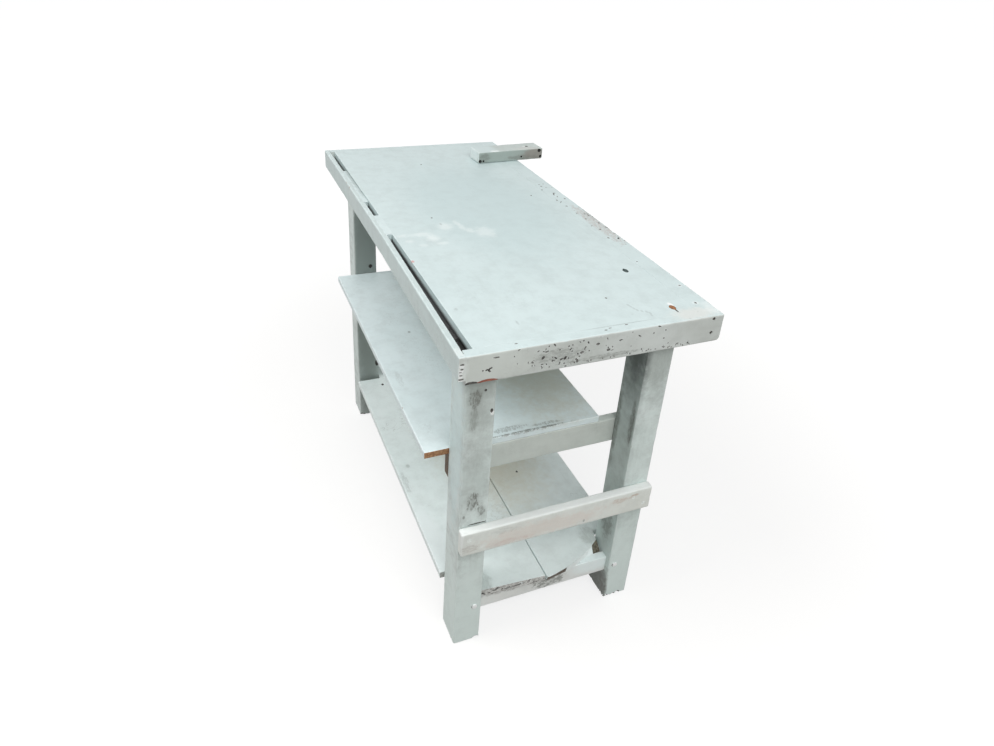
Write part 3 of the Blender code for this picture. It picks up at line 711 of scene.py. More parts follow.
RUST = (0.45, 0.27, 0.18)
YELLOWED = (0.77, 0.69, 0.63)
PINKISH = (0.62, 0.48, 0.43)
HAND_DIRT = (0.35, 0.3, 0.26)
stretcher_paint = painted("stretcher_paint", ALONG_Y, marks=[
    mark(on_stretcher(0.2, 0.026), (0.012, 0.2, 0.03), YELLOWED, 0.55, 1.6, 0.2),
    mark(on_stretcher(0.105, 0.012), (0.012, 0.07, 0.01), PINKISH, 0.4, 1.6, 0.4),
    mark(on_stretcher(0.385, 0.045), (0.012, 0.045, 0.01), RUST, 0.4, 1.6, 0.7),
    mark(on_stretcher(0.418, 0.05), (0.012, 0.016, 0.005), RUST, 0.55, 1.2, 0.5),
    mark(on_stretcher(0.02, 0.02), (0.012, 0.03, 0.018), HAND_DIRT, 0.35, 1.2, 0.7),
    mark(on_stretcher(0.1, 0.046), (0.012, 0.06, 0.012), GRIME, 0.14, 1.6, 0.9),
    mark(on_stretcher(0.29, 0.012), (0.008, 0.004, 0.006), GRIME, 0.5, 0.8),
    # Painted highlight: the stretcher's top and the top of its back end are made near white.
    mark((stretcher_high.x - 0.008, 0.06, stretcher_high.z), (0.03, 0.5, 0.006),
         WHITE_SPOT, 0.75, 0.6, 0.1),
    mark((stretcher_low.x + 0.004, stretcher_high.y, stretcher_high.z - 0.01), (0.016, 0.008, 0.04),
         WHITE_SPOT, 0.6, 1.0, 0.1),
], Paint=(0.8, 0.83, 0.775), Pale=(0.86, 0.91, 0.88), Mottle=0.6, Rub=1.0, Streaks=0.12)
make_nailed("near_stretcher", "worn_paint", True, stretcher_paint, spacing=0.01, radius=0.0042, nicks=0.8,
            seed=50)


# Lower boards
# Two wide boards lie loose on the lower rails. The back one is notched round the back legs, and
# the front one has torn away at its near end, leaving a sloping broken edge.

MERGE_DISTANCE = 0.00001
FAR_FROM_EDGE = 0.03


def make_fitted_cut():
    """Trims a worn board to the outline of the solid that it stands for."""
    tree, given, result = new_tree("fitted_cut", "Geometry", SHAPE, Geometry="Geometry", Object="Solid",
                                   Material="Material")
    solid = add_node(tree, "GeometryNodeObjectInfo", {"Object": given["Solid"]}, "Geometry")
    closed = add_node(tree, "GeometryNodeMergeByDistance", {
        "Geometry": solid, "Distance": MERGE_DISTANCE})
    inland = store(closed, "edge", FAR_FROM_EDGE)
    cut = add_node(tree, "GeometryNodeMeshBoolean", {1: inland}, operation="INTERSECT",
                   solver="MANIFOLD")
    given["Geometry"].feed(cut.socket.node.inputs[1])
    return finish_shape(cut, given, result)


fitted_cut = make_fitted_cut()


def make_trimmed(node, slot, material, *steps, low_spare=NONE, high_spare=NONE, **shape):
    """Makes a worn timber with something to spare at its low or high sides, whose edges meet other
    pieces and so aren't worn, and trims it to the solid of its node."""
    low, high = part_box(node)
    trim = (fitted_cut, {"Solid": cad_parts[node], "Material": material})
    rough_cut = timber(low - Vector(low_spare), high + Vector(high_spare), material, **shape)
    return make_piece(f"worn_{node}", slot, [node], rough_cut, trim, *steps)


back_low, back_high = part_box("lower_back_board")
front_low, front_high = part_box("lower_front_board")
board_top = back_high.z
BOARD_SHADE = (0.45, 0.5, 0.475)
UNDER_SHELF_SHADE = (0.67, 0.66, 0.56)
SUNLIT = (0.93, 1.0, 1.0)
# Painted light: the boards' paint is set paler than the frame's. Painted shade lies under the shelf and
# in patches by the legs, and painted light along part of the back board's back edge.
board_paint = painted("board_paint", ALONG_X, marks=[
    mark((0.0, 0.03, board_top), (0.5, 0.2, 0.02), UNDER_SHELF_SHADE, 0.95, 0.5),
    mark((-0.414, 0.287, board_top), (0.16, 0.05, 0.01), SUNLIT, 0.8, 0.6),
    mark((-0.575, 0.215, board_top), (0.045, 0.03, 0.01), BOARD_SHADE, 0.6, 1.2, 0.3),
    mark((-0.138, 0.262, board_top), (0.01, 0.008, 0.01), BOARD_SHADE, 0.6, 0.6),
    mark((-0.53, -0.09, board_top), (0.05, 0.035, 0.01), BOARD_SHADE, 0.7, 1.0, 0.3),
    mark((-0.2, 0.285, board_top), (0.07, 0.014, 0.01), GRIME, 0.25, 1.0, 0.95),
], Paint=(0.86, 0.955, 0.94), Pale=(0.9, 0.97, 0.965), Wrinkles=0.2, Streaks=0.1, Scuffs=0.2, Rub=0.9)
END_PIT_LEAST = (0.0015, 0.0015, 0.001)
END_PIT_MOST = (0.003, 0.006, 0.0025)
END_SKEW = 0.01
END_STRIPS = 6
strip_width = (near_back_low.y - back_low.y) / END_STRIPS


def end_pits(strip):
    """The step that pits one strip of the near end, which was sawn out of square."""
    sawn_x = back_low.x + END_SKEW * (strip + 0.5) / END_STRIPS
    strip_low = Vector((sawn_x, back_low.y + strip * strip_width, back_low.z + 0.003))
    strip_high = Vector((sawn_x, strip_low.y + strip_width, back_high.z - 0.003))
    return pits(strip_low, strip_high, 4, END_PIT_LEAST, END_PIT_MOST, pit_grey, turn=(0.6, 0.0, 0.0),
                seed=160 + strip)


back_board = make_trimmed(
    "lower_back_board", "shelf_paint", board_paint, *[end_pits(strip) for strip in range(END_STRIPS)],
    pit_at((0.263, 0.228, board_top), (0.005, 0.004, 0.004), pit_grime, seed=62), nicks=1.2, seed=60)
end_grain = raw_wood("end_grain", (0.36, 0.35, 0.335), (0.8, 0.82, 0.79), (1.0, 0.5, 1.0))
past_notch = near_back_high.x + 0.02
repaint(back_board, end_grain, lambda face: face.normal.x < -0.6 and face.center.x < past_notch)
front_board = make_trimmed(
    "lower_front_board", "shelf_paint", board_paint,
    pits((front_low.x + 0.004, front_high.y - 0.05, front_low.z + 0.002),
         (front_low.x + 0.014, front_high.y, front_high.z - 0.003), 14, END_PIT_LEAST, END_PIT_MOST,
         pit_grey, turn=(0.6, 0.0, 0.6), seed=64),
    pit_at((-0.254, -0.013, board_top), (0.004, 0.003, 0.003), pit_grime, seed=65), nicks=1.2, seed=63)


def is_torn(face):
    """Picks the faces of the break, up to the leg that the board was notched round."""
    facing = abs(face.normal.z) < 0.8 and face.normal.x < -0.25
    return facing and face.center.x < near_front_high.x and face.material_index == 0


torn_wood = raw_wood("torn_wood", (0.05, 0.045, 0.03), (0.26, 0.24, 0.18), (0.2, 1.0, 1.0))
# Painted shade: a darker copy of the torn wood under the tip of the break.
undercut_shade = raw_wood("undercut_shade", (0.035, 0.028, 0.022), (0.2, 0.16, 0.12), (0.2, 1.0, 1.0))
PAINTED_BREAK = (-0.083, 0.01)
repaint(front_board, undercut_shade, lambda face: is_torn(face) and face.center.y > PAINTED_BREAK[1])
repaint(front_board, torn_wood, lambda face: is_torn(face) and face.center.y < PAINTED_BREAK[0])


# Middle shelf
# One board lies on the middle rails between the legs and overhangs at the back. Its near end was
# sawn after painting, so the raw wood shows there, and its near edge is scraped and specked.

shelf_low, shelf_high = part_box("mid_shelf_board")
shelf_end, shelf_top = shelf_low.x, shelf_high.z
WARM_SHADE = (0.66, 0.68, 0.62)
UNDER_TOP_SHADE = (0.6, 0.6, 0.51)
# Painted shade: warm and darker under the worktop. Painted light: the shelf's paint is set paler than the
# frame's.
shelf_paint = painted("mid_shelf_paint", ALONG_X, marks=[
    mark((0.0, 0.02, shelf_top), (0.7, 0.2, 0.02), WARM_SHADE, 0.8, 0.5),
    mark((-0.1, 0.0, shelf_top), (0.5, 0.15, 0.02), UNDER_TOP_SHADE, 0.6, 0.8),
    mark((shelf_end + 0.003, 0.1, shelf_top), (0.006, 0.15, 0.008), GRIME, 0.8, 1.2, 0.75),
    mark((shelf_end + 0.02, 0.15, shelf_top), (0.014, 0.07, 0.008), GRIME, 0.5, 1.2, 0.85),
    mark((shelf_end + 0.014, 0.06, shelf_top), (0.01, 0.05, 0.008), GRIME, 0.5, 1.2, 0.85),
    mark((-0.055, 0.235, shelf_top), (0.006, 0.005, 0.01), GRIME, 0.6, 0.8),
    mark((-0.26, 0.318, shelf_top), (0.06, 0.012, 0.008), GRIME, 0.14, 1.0, 0.95),
], Paint=(0.76, 0.87, 0.88), Pale=(0.82, 0.91, 0.92), Wrinkles=0.08, Streaks=0.1, Scuffs=0.08, Rub=0.95)
shelf = make_worn("mid_shelf_board", "shelf_paint", shelf_paint, seed=70)


def on_raw_end(face):
    """Picks the part of the shelf's near end that shows behind the leg."""
    at_end = face.normal.x < -0.7 and face.center.x < shelf_end + 0.001
    return at_end and face.center.y > near_back_low.y


raw_shelf_end = raw_wood("raw_shelf_end", (0.26, 0.11, 0.05), (0.5, 0.29, 0.15), (0.4, 1.0, 1.0))
repaint(shelf, raw_shelf_end, on_raw_end)


# Bearers and slot rail
# Two bearers run across under the worktop, beside the legs, and hold the top panel. A rail between
# them stiffens the panel's edge and closes one side of the tool slot. Their sides in the slot carry
# painted shade, near black, and less dark along the farther slots.

SLOT_PALER_SHADE = (0.15, 0.17, 0.165)


def slot_shade_mark(side):
    """Painted shade on a piece's side in the slot, near black below its upper edge."""
    return mark((0.0, side.y, side.z), (3.0, 0.008, 0.06), SLOT_SHADE, 1.0, 0.2)


bearer_paint = painted("bearer_paint", ALONG_Y, marks=[slot_shade_mark(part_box("near_bearer")[1])],
                       Paint=(0.55, 0.6, 0.57))
for seed, node in enumerate(("near_bearer", "far_bearer")):
    make_worn(node, "frame_paint", bearer_paint, spacing=0.015, radius=0.0015, seed=80 + seed)
slot_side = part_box("slot_rail")[1]
slot_rail_paint = painted("slot_rail_paint", ALONG_X, marks=[
    slot_shade_mark(slot_side),
    mark((0.35, slot_side.y, slot_side.z), (0.55, 0.008, 0.06), SLOT_PALER_SHADE, 0.8, 0.2),
], Paint=(0.5, 0.54, 0.51))
make_worn("slot_rail", "frame_paint", slot_rail_paint, spacing=0.015, radius=0.0012, seed=83)


# Worktop frame
# A stout rail along the front, a thin batten along the back and a board across each end frame
# the worktop. Three spacers hold the batten off the panel, which leaves the long tool slots.
# One coat of paint runs over all of it and fills the seams.

SEAM = 0.01
near_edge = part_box("near_end_board")[0].x
panel_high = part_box("top_panel")[1]
slot_edge, worktop = panel_high.y, panel_high.z


def on_top(from_near, from_slot):
    """A place on the worktop, measured from its near end and from the slot's edge."""
    return Vector((near_edge + from_near, slot_edge - from_slot, worktop))


CHALK = (0.86, 0.91, 0.9)
STAIN = (0.46, 0.4, 0.37)
BEIGE = (0.74, 0.73, 0.69)
FAR_TOP_SHADE = (0.49, 0.61, 0.615)
PINK_SPOT = (0.66, 0.33, 0.32)
GROOVE_SHADE = (0.3, 0.36, 0.35)
FLAT_MARK = 0.012
sag_line = [(0.091, 0.365), (0.083, 0.367), (0.075, 0.369), (0.067, 0.372), (0.06, 0.379), (0.055, 0.387),
            (0.048, 0.391), (0.04, 0.389)]
chalk_strokes = [(0.58, 0.138, 0.034, 0.026, 0.44), (0.597, 0.172, 0.022, 0.012, 0.34),
                 (0.566, 0.176, 0.026, 0.013, 0.36), (0.543, 0.187, 0.022, 0.016, 0.36),
                 (0.523, 0.221, 0.046, 0.036, 0.38), (0.545, 0.066, 0.016, 0.04, 0.38),
                 (0.518, 0.086, 0.028, 0.022, 0.5), (0.484, 0.099, 0.013, 0.022, 0.34),
                 (0.547, 0.018, 0.014, 0.02, 0.34), (0.512, 0.026, 0.014, 0.016, 0.3),
                 (0.483, 0.052, 0.012, 0.018, 0.26)]
worktop_marks = [
    # Painted shade: the worktop is darker over its middle and far part.
    mark(on_top(0.7, 0.28), (0.48, 0.26, FLAT_MARK), FAR_TOP_SHADE, 0.5, 0.6),
    *[mark(on_top(from_near, from_slot), (along, across, FLAT_MARK), CHALK, strength, 1.6, 0.1, 0.75)
      for from_near, from_slot, along, across, strength in chalk_strokes],
    mark(on_top(0.596, 0.132), (0.009, 0.004, FLAT_MARK), GRIME, 0.3, 0.8),
    *[mark(on_top(*place), (0.007, 0.0035, FLAT_MARK), GRIME, 0.22, 0.8) for place in sag_line],
    mark(on_top(0.404, 0.003), (0.008, 0.005, FLAT_MARK), PINK_SPOT, 0.8, 0.6),
    mark(on_top(0.506, 0.52), (0.23, 0.026, FLAT_MARK), STAIN, 0.6, 1.2, 0.95),
    mark(on_top(0.5, 0.533), (0.17, 0.012, FLAT_MARK), STAIN, 0.35, 1.4, 0.6),
    mark(on_top(0.022, 0.478), (0.03, 0.07, FLAT_MARK), BEIGE, 0.6, 1.2, 0.1),
    mark(on_top(0.03, 0.535), (0.034, 0.034, FLAT_MARK), CHALK, 0.45, 1.4, 0.1),
    mark(on_top(0.068, 0.453), (0.01, 0.006, FLAT_MARK), WHITE_SPOT, 0.9, soft=0.4),
    mark(on_top(0.139, 0.525), (0.008, 0.007, FLAT_MARK), WHITE_SPOT, 0.35, 0.6),
    mark(on_top(0.06, 0.51), (0.01, 0.01, FLAT_MARK), WHITE_SPOT, 0.35, 0.6),
    mark(on_top(0.171, 0.021), (0.008, 0.006, FLAT_MARK), GRIME, 0.25, 1.2, 0.3),
    mark(on_top(0.089, 0.116), (0.012, 0.004, FLAT_MARK), GRIME, 0.25, 1.2, 0.3),
    mark(on_top(0.025, 0.3), (0.002, 0.12, FLAT_MARK), GRIME, 0.35, 0.3, 0.3),
]
# Painted shade along the groove where the sunk spacer lies below the top.
groove = corners("slot_spacer_sunk_long")[2] + Vector((0.0, -0.003, 0.0055))
slot_marks = [
    mark(groove, (0.25, 0.009, 0.008), GROOVE_SHADE, 0.8, 0.5, 0.1),
    # Painted shade: the panel's edge in the slot goes near black below its top, less dark along the
    # farther slots.
    mark((0.0, slot_edge, worktop - 0.03), (3.0, 0.008, 0.021), SLOT_SHADE, 1.0, 0.1, soft=0.5),
    mark((0.35, slot_edge, worktop - 0.03), (0.55, 0.008, 0.024), SLOT_PALER_SHADE, 0.8, 0.2),
]
TOP_PAINT = (0.6, 0.705, 0.705)
TOP_PALE = (0.68, 0.78, 0.78)
top_paint = painted("worktop_paint", ALONG_X, marks=worktop_marks + slot_marks, Paint=TOP_PAINT,
                    Pale=TOP_PALE, Mottle=0.5, Streaks=0.06, Scuffs=0.2, Chips=0.4, Wrinkles=0.06)

front_chips = [(0.817, 0.506), (0.773, 0.494), (0.728, 0.51), (0.686, 0.499), (0.583, 0.506),
               (0.574, 0.525), (0.541, 0.511), (0.508, 0.531), (0.494, 0.502), (0.478, 0.534),
               (0.468, 0.512), (0.414, 0.505), (0.272, 0.499), (0.139, 0.525), (0.06, 0.51)]
SHORTEST_CHIP = 0.0016
CHIP_STEP = 0.0009
FRONT_SPECK_LEAST = (0.001, 0.001, 0.0008)
FRONT_SPECK_MOST = (0.005, 0.003, 0.0016)
FLAT_TURN = (0.0, 0.0, 3.0)
make_trimmed(
    "front_rail", "frame_paint", top_paint,
    *[pit_at(on_top(*place), (SHORTEST_CHIP + CHIP_STEP * (index % 4), 0.0026, 0.0013), pit_grey,
             0.004, index)
      for index, place in enumerate(front_chips)],
    pits(on_top(0.36, 0.527), on_top(0.64, 0.54), 16, FRONT_SPECK_LEAST, FRONT_SPECK_MOST, pit_grey,
         turn=FLAT_TURN, seed=9),
    pits(on_top(0.6, 0.498), on_top(0.86, 0.534), 12, FRONT_SPECK_LEAST, FRONT_SPECK_MOST, pit_grey,
         turn=FLAT_TURN, seed=10),
    low_spare=(SEAM, 0.0, 0.0), high_spare=(SEAM, SEAM, 0.0), radius=0.0025, nicks=1.4, seed=90)

BATTEN_THICKNESS = 0.014
batten_low, batten_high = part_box("slot_batten")
batten_straight = Vector((batten_high.x, batten_low.y + BATTEN_THICKNESS, batten_high.z))
batten_spring = batten_high.y - batten_straight.y
notches = [(0.008, 0.015, (0.003, 0.0052, 0.002)), (0.0065, 0.025, (0.0026, 0.0034, 0.0016)),
           (0.004, 0.031, (0.0022, 0.0026, 0.0012)), (0.005, 0.0375, (0.0024, 0.0036, 0.0014)),
           (0.006, 0.046, (0.003, 0.006, 0.0018))]
corner_white = [
    mark((near_edge, batten_high.y - 0.008, worktop - 0.026), (0.01, 0.013, 0.03),
         CHALK, 0.35, 1.6, 0.2),
    mark((near_edge + 0.016, batten_high.y - 0.012, worktop), (0.026, 0.022, 0.008),
         CHALK, 0.45, 1.6, 0.1)]
notch_rims = [
    mark((near_edge, batten_high.y - from_back + 0.0015, worktop - depth - 0.0038),
         (0.006, 0.0062, 0.004), WHITE_SPOT, 0.9, 0.8, soft=0.4)
    for from_back, depth, _ in notches]
batten_paint = painted("batten_paint", ALONG_X, marks=worktop_marks + corner_white,
                       Paint=(0.56, 0.655, 0.645), Pale=TOP_PALE, Mottle=0.6, Streaks=0.15, Scuffs=0.25,
                       Rub=0.9)
batten_foot = (near_edge, batten_high.y - 0.007, batten_low.z)
batten = make_piece(
    "worn_slot_batten", "frame_paint", ["slot_batten"],
    timber(batten_low, batten_straight, batten_paint, spacing=0.01, radius=0.0025, nicks=1.2,
           bend=batten_spring, bend_from=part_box("slot_spacer_flush")[0].x, seed=91),
    *[pit_at((near_edge, batten_high.y - from_back, worktop - depth), size, pit_grey, 0.003, index)
      for index, (from_back, depth, size) in enumerate(notches)],
    pit_at(batten_foot, (0.0035, 0.011, 0.0028), pit_grime, 0.003, seed=6))
for seed, node in enumerate(("slot_spacer_flush", "slot_spacer_sunk_short", "slot_spacer_sunk_long")):
    make_worn(node, "top_paint", top_paint, spacing=0.01, radius=0.0005, seed=93 + seed)


STEEL_DEPTH = 0.0003


def make_dull_steel(name):
    """Old nails and screws: dull steel, rusted in patches."""
    material, shader, coords = new_material(name)
    rust = stretch(noise(coords, 420.0, 1.0, 5.0, 0.7), 0.4, 0.62)
    colour = mix(rust, (0.07, 0.067, 0.064), (0.05, 0.03, 0.018))
    stretch(rust, 0.0, 1.0, 1.0, 0.0).feed(shader.inputs["Metallic"])
    finish_surface(shader, colour, stretch(rust, 0.0, 1.0, 0.4, 0.85), rust, STEEL_DEPTH)
    return material


dull_steel = make_dull_steel("dull_steel")
END_BACK_LIGHT = (0.71, 0.76, 0.715)
# The end boards' faces take a darker, greyer copy of the worktop's paint, which is painted shade, besides
# their real dirt and pits; their upper faces get the worktop's own paint.
end_dirt_and_shade_paint = painted("end_board_paint", ALONG_Y, marks=worktop_marks + [
    mark((near_edge, 0.115, worktop - 0.03), (0.012, 0.085, 0.026), GRIME, 0.45, 1.2, 0.92),
    mark((near_edge, 0.01, worktop - 0.05), (0.012, 0.14, 0.008), GRIME, 0.5, 1.2, 0.85),
    # Painted light: the face is made paler towards the back.
    mark((near_edge, 0.25, worktop - 0.03), (0.012, 0.11, 0.05), END_BACK_LIGHT, 0.5, 1.0, 0.1),
    *corner_white, *notch_rims,
], Paint=(0.55, 0.585, 0.555), Pale=(0.7, 0.745, 0.725), Mottle=0.8, Streaks=0.12, Scuffs=0.35)
red_primer = raw_wood("red_primer", (0.22, 0.07, 0.045), (0.52, 0.2, 0.14), (1.0, 0.3, 1.0))
IN_FACE = (3.1, 0.0, 0.0)
DOT = (0.0016, 0.0018, 0.0015)
DASH = (0.0018, 0.0042, 0.0014)
BLOT = (0.0022, 0.0042, 0.0028)
SPECK = (0.002, 0.0031, 0.0018)
dark_pits = [(0.2525, 0.0322, SPECK), (0.2555, 0.034, SPECK), (0.257, 0.0362, SPECK),
             (0.2545, 0.0385, SPECK), (0.261, 0.035, SPECK), (0.268, 0.0352, DOT),
             (0.149, 0.0297, BLOT), (0.127, 0.0055, DASH), (0.122, 0.0348, DASH),
             (0.109, 0.0394, DASH), (0.102, 0.0384, BLOT), (0.092, 0.0204, DASH),
             (0.0084, 0.0367, BLOT), (-0.0164, 0.0194, DASH), (-0.091, 0.0163, DOT),
             (-0.102, 0.003, DASH), (-0.1185, 0.014, DOT), (-0.1175, 0.0322, DOT)]
grey_pits = [(0.169, 0.0369, DOT), (0.17, 0.0432, DOT), (0.144, 0.0176, DOT),
             (0.134, 0.0523, DOT), (0.149, 0.0517, DOT), (0.115, 0.0184, DOT), (0.089, 0.0122, DOT),
             (0.075, 0.0501, BLOT), (0.067, 0.0324, BLOT), (0.06, 0.0217, DOT), (0.034, 0.0196, BLOT),
             (-0.059, 0.0177, DASH), (-0.13, 0.0459, DOT), (-0.1525, 0.0513, DASH)]


def face_pits(places, material, first_seed):
    """The steps that cut the pits seen on the near end board, each turned its own way."""
    return [pit_at((near_edge, across, worktop - depth), size, material, 0.002, first_seed + index,
                   IN_FACE)
            for index, (across, depth, size) in enumerate(places)]


def on_batten_end(face):
    """Picks the sound paint on the batten's near end."""
    at_end = face.normal.x < -0.7 and face.center.x < near_edge + 0.002
    return at_end and face.material_index == 0


def on_upper_face(face):
    """Picks the sound paint on top of a piece of the worktop's frame."""
    return face.normal.z > 0.6 and face.center.z > worktop - 0.004 and face.material_index == 0


repaint(batten, end_dirt_and_shade_paint, on_batten_end)
top_dashes = [(-0.6128, 0.1985), (-0.6166, 0.012), (-0.612, 0.0), (-0.609, -0.038)]
near_marks = face_pits(dark_pits, pit_grime, 200) + face_pits(grey_pits, pit_grey, 240) + [
    *[pit_at((*place, worktop), (0.0016, 0.0034, 0.0012), pit_grey, 0.002, index)
      for index, place in enumerate(top_dashes)],
    pit_at((near_edge, 0.243, worktop - 0.0114), (0.0016, 0.0065, 0.0016), pit_grey, 0.002, seed=6),
    pit_at((near_edge, 0.258, worktop - 0.062), (0.003, 0.023, 0.0075), red_primer, 0.004, seed=7),
    pit_at((near_edge, 0.29, worktop - 0.062), (0.003, 0.016, 0.0075), pit_grime, 0.004, seed=8)]
SMALL_PIT_LEAST = (0.001, 0.0008, 0.0007)
SMALL_PIT_MOST = (0.0018, 0.0036, 0.0018)
EDGE_PIT_LEAST = (0.001, 0.001, 0.0008)
EDGE_PIT_MOST = (0.0016, 0.003, 0.0016)
OPEN_HOLE = (0.003, 0.0038, 0.0038)
END_NAIL_PROUD = -0.0014
for seed, (end, faces_near) in enumerate((("near", True), ("far", False))):
    node = f"{end}_end_board"
    low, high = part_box(node)
    outer = low.x if faces_near else high.x
    nails = [f"{end}_end_nail_{level}" for level in ("upper", "lower")]
    end_board = make_trimmed(
        node, "frame_paint", end_dirt_and_shade_paint,
        pits((outer, 0.05, low.z + 0.012), (outer, 0.18, high.z - 0.006), 24, SMALL_PIT_LEAST,
             SMALL_PIT_MOST, pit_grime, turn=IN_FACE, seed=100 + seed),
        pits((outer, -0.13, low.z + 0.01), (outer, 0.27, high.z - 0.003), 20, SMALL_PIT_LEAST,
             SMALL_PIT_MOST, pit_grey, turn=IN_FACE, seed=102 + seed),
        pits((outer, -0.21, low.z + 0.004), (outer, 0.11, low.z + 0.01), 30, EDGE_PIT_LEAST,
             EDGE_PIT_MOST, pit_grey, turn=IN_FACE, seed=104 + seed),
        *(near_marks if faces_near else []),
        *[pit_at(outer_end(nail, faces_near, 0.0), OPEN_HOLE, shaded_hole, 0.0006) for nail in nails],
        low_spare=(0.0 if faces_near else SEAM, 0.0, 0.0),
        high_spare=(SEAM if faces_near else 0.0, SEAM, 0.0),
        spacing=0.008, radius=0.0034, nicks=0.8, seed=96 + seed)
    repaint(end_board, top_paint, on_upper_face)
    make_nail_heads(node, nails, faces_near, END_NAIL_PROUD, dull_steel)

flush_low, flush_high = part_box("slot_spacer_flush")
filler_low = (flush_low.x, slot_edge - 0.0016, worktop - 0.003)
filler_high = (flush_high.x, batten_low.y + 0.0028, worktop - 0.0001)
make_piece("spacer_seam_filler", "top_paint", [],
           timber(filler_low, filler_high, top_paint, spacing=0.004, radius=0.0003, seed=99))
filled_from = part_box("near_end_board")[1].y - 0.0004
filler_low = Vector((near_edge + 0.0003, filled_from, batten_low.z + 0.002))
filler_high = Vector((near_edge + 0.012, filled_from + 0.0042, worktop - 0.0003))
filler = make_piece("seam_filler", "frame_paint", [],
                    timber(filler_low, filler_high, end_dirt_and_shade_paint, spacing=0.004, radius=0.0006, seed=98))
repaint(filler, top_paint, on_upper_face)


# Top panel
# The working surface is a thick board flush with its frame and under the same coat. It has one
# deep gouge, a chip down to the wood near the front corner, and a few nail holes.

gouge_floor = raw_wood("gouge_floor", (0.02, 0.035, 0.035), (0.09, 0.12, 0.115))
orange_wood = raw_wood("orange_wood", (0.14, 0.055, 0.025), (0.42, 0.2, 0.09), (0.2, 1.0, 1.0))
nail_marks = [(1.063, 0.226), (0.736, 0.443), (0.641, 0.123), (0.131, 0.336)]
make_trimmed(
    "top_panel", "top_paint", top_paint,
    pit_at(on_top(0.237, 0.447), (0.01, 0.006, 0.004), gouge_floor, 0.006, seed=3),
    pit_at(on_top(0.056, 0.45), (0.01, 0.007, 0.0025), orange_wood, 0.005, seed=4),
    pit_at(on_top(0.043, 0.4505), (0.009, 0.002, 0.0012), pit_grime, 0.002, seed=5),
    *[pit_at(on_top(*place), (0.003, 0.0024, 0.002), pit_grey, seed=index)
      for index, place in enumerate(nail_marks)],
    low_spare=(SEAM, SEAM, 0.0), high_spare=(SEAM, 0.0, 0.0), spacing=0.014, radius=0.0012, nicks=0.8,
    hollows=0.0008, seed=110)


# Planing stop
# A short block screwed on across the far end of the worktop, slightly askew, that work is
# pushed against. Its near face takes a darker copy of its paint, which is painted shade, and
# it is bruised and dark and has old nail holes in it.

STOP_SIZE = Vector((0.066, 0.224, 0.035))
STOP_TURN = math.radians(3.0)
stop_low, stop_high, stop_middle = corners("planing_stop")
stop_x, stop_y, stop_z = stop_middle


def on_stop(from_left, height):
    """A place on the near face of the stop."""
    across = Vector((-STOP_SIZE.x / 2, STOP_SIZE.y / 2 - from_left))
    turned_x = across.x * math.cos(STOP_TURN) - across.y * math.sin(STOP_TURN)
    turned_y = across.x * math.sin(STOP_TURN) + across.y * math.cos(STOP_TURN)
    return Vector((stop_x + turned_x, stop_y + turned_y, stop_low.z + height))


STOP_SCRAPED = (0.55, 0.55, 0.52)
STOP_BRUISE = (0.33, 0.31, 0.28)
stop_paint = painted("stop_paint", ALONG_Y, marks=[
    mark((stop_x, stop_y + 0.085, stop_high.z), (0.06, 0.055, 0.05), TOP_PAINT, 0.85, 0.8),
    mark((stop_x, stop_high.y, stop_z), (0.06, 0.012, 0.03), CHALK, 0.45, 1.2, 0.1),
    mark(on_stop(0.057, 0.035), (0.017, 0.021, 0.01), CHALK, 0.9, 1.0, 0.1),
    mark((stop_x, stop_y - 0.06, stop_high.z), (0.006, 0.01, 0.006), CHALK, 0.7, 1.0, 0.1),
    mark(on_stop(0.17, 0.035), (0.04, 0.06, 0.004), STOP_SCRAPED, 0.6, 1.0, 0.2),
], Paint=(0.5, 0.565, 0.54), Mottle=0.7, Streaks=0.2, Scuffs=0.4)
# Painted shade: the stop's near face takes a darker copy of its paint, with a bruise and dirt on it.
stop_face_shade_paint = painted("stop_face_shade_paint", ALONG_Y, marks=[
    mark(on_stop(0.195, 0.018), (0.02, 0.055, 0.03), STOP_BRUISE, 0.85, 1.0, 0.15),
    mark(on_stop(0.02, 0.018), (0.02, 0.03, 0.022), GRIME, 0.6, 1.2, 0.6),
    mark(on_stop(0.15, 0.01), (0.02, 0.08, 0.012), GRIME, 0.5, 1.2, 0.7),
], Paint=(0.36, 0.43, 0.4), Pale=(0.46, 0.53, 0.5), Mottle=0.7, Streaks=0.2, Scuffs=0.4)
stop_holes = [(0.006, 0.0065, 0.0055), (0.017, 0.007, 0.0035), (0.148, 0.012, 0.0032),
              (0.211, 0.028, 0.006), (0.216, 0.009, 0.0045)]
stop = make_piece(
    "worn_planing_stop", "frame_paint", ["planing_stop"],
    timber(stop_middle - STOP_SIZE / 2, stop_middle + STOP_SIZE / 2, stop_paint, spacing=0.01,
           radius=0.0045, turn=STOP_TURN, seed=120),
    pit_at((stop_x, stop_y - 0.067, stop_high.z), (0.005, 0.005, 0.002), pit_grime, seed=6),
    *[pit_at(on_stop(from_left, height), (0.004, radius, radius), shaded_hole, seed=index)
      for index, (from_left, height, radius) in enumerate(stop_holes)])
repaint(stop, stop_face_shade_paint, lambda face: face.normal.x < -0.75 and face.material_index == 0)
for node in ("stop_screw_outer", "stop_screw_inner"):
    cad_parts[node].data.materials.clear()
    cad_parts[node].data.materials.append(dull_steel)


# Floor, light and camera
# A plain white floor that keeps the soft shadow, two large soft lamps above and pale light all
# round, seen from where the photograph was taken.

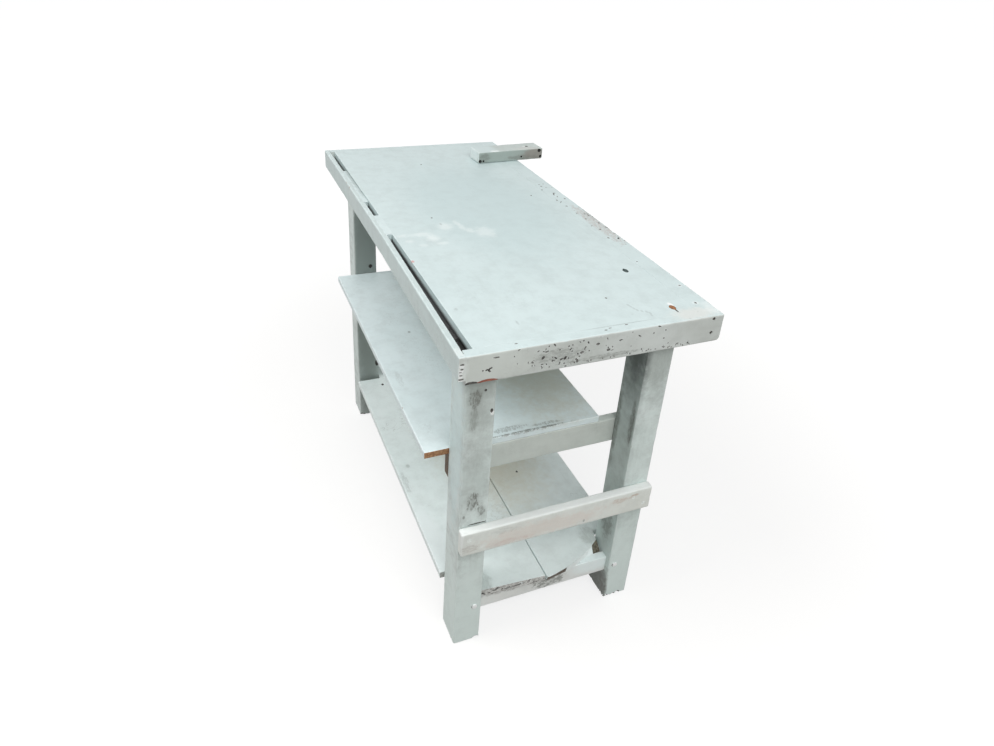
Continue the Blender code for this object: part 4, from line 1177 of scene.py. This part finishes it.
FLOOR_REACH = 40.0
floor_mesh = bpy.data.meshes.new("floor")
floor_corners = [(-FLOOR_REACH, -FLOOR_REACH, 0.0), (FLOOR_REACH, -FLOOR_REACH, 0.0),
                 (FLOOR_REACH, FLOOR_REACH, 0.0), (-FLOOR_REACH, FLOOR_REACH, 0.0)]
floor_mesh.from_pydata(floor_corners, [], [(0, 1, 2, 3)])
floor = new_object("floor", floor_mesh)
floor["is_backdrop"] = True


def seen_directly(tree):
    """1 for what the camera sees itself, in a mirror or through glass, and 0 for light."""
    path = outputs(tree.nodes.new("ShaderNodeLightPath"))
    direct = path["Is Camera Ray"].sum("MAXIMUM", path["Is Glossy Ray"])
    return direct.sum("MAXIMUM", path["Is Transmission Ray"])


floor_white, shader, coords = new_material("floor_white")
shader.inputs["Base Color"].default_value = (0.31, 0.3, 0.28, OPAQUE)
shader.inputs["Roughness"].default_value = 0.9
shader.inputs["Specular IOR Level"].default_value = 0.0
shader.inputs["Emission Color"].default_value = (0.98, 0.987, 1.0, OPAQUE)
# Painted shade: the floor's own glow is dimmer near the bench, which deepens the shadow there.
glow_dimmed_near_bench = stretch(coords.length(), 0.8, 2.2, 0.75, 0.88)
(seen_directly(coords.tree) * glow_dimmed_near_bench).feed(shader.inputs["Emission Strength"])
floor_mesh.materials.append(floor_white)

world = bpy.data.worlds.new("studio")
world.use_nodes = True
bpy.context.scene.world = world
light = world.node_tree.nodes["Background"]
light.inputs["Color"].default_value = (1.0, 1.0, 1.0, OPAQUE)
stretch(seen_directly(world.node_tree), 0.0, 1.0, 0.444, 1.0).feed(light.inputs["Strength"])

LAMP_AIM = Vector((0.0, 0.0, 0.5))
LAMP_WIDTH = 2.0
for name, place, power in (
        ("left_lamp", Vector((0.0, 2.2, 3.5)), 59.0),
        ("near_lamp", Vector((-2.9, 0.0, 2.9)), 51.0)):
    lamp_data = bpy.data.lights.new(name, "AREA")
    lamp_data.shape = "DISK"
    lamp_data.size = LAMP_WIDTH
    lamp_data.energy = power
    lamp = new_object(name, lamp_data)
    lamp.location = place
    lamp.rotation_euler = (LAMP_AIM - place).to_track_quat("-Z", "Y").to_euler()

IMAGE_WIDTH = 994.0
camera_data = bpy.data.cameras.new("camera")
camera_data.sensor_fit = "HORIZONTAL"
camera_data.sensor_width = 36.0
camera_data.lens = 26.571
camera_data.shift_x = -5.75 / IMAGE_WIDTH
camera_data.shift_y = -58.36 / IMAGE_WIDTH
camera = new_object("camera", camera_data)
camera.location = (-1.6421, 0.70435, 1.4877)
camera.rotation_euler = (math.radians(61.158), math.radians(-3.676), math.radians(-112.753))
bpy.context.scene.camera = camera
bpy.context.scene.view_settings.view_transform = "Standard"

low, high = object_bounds()
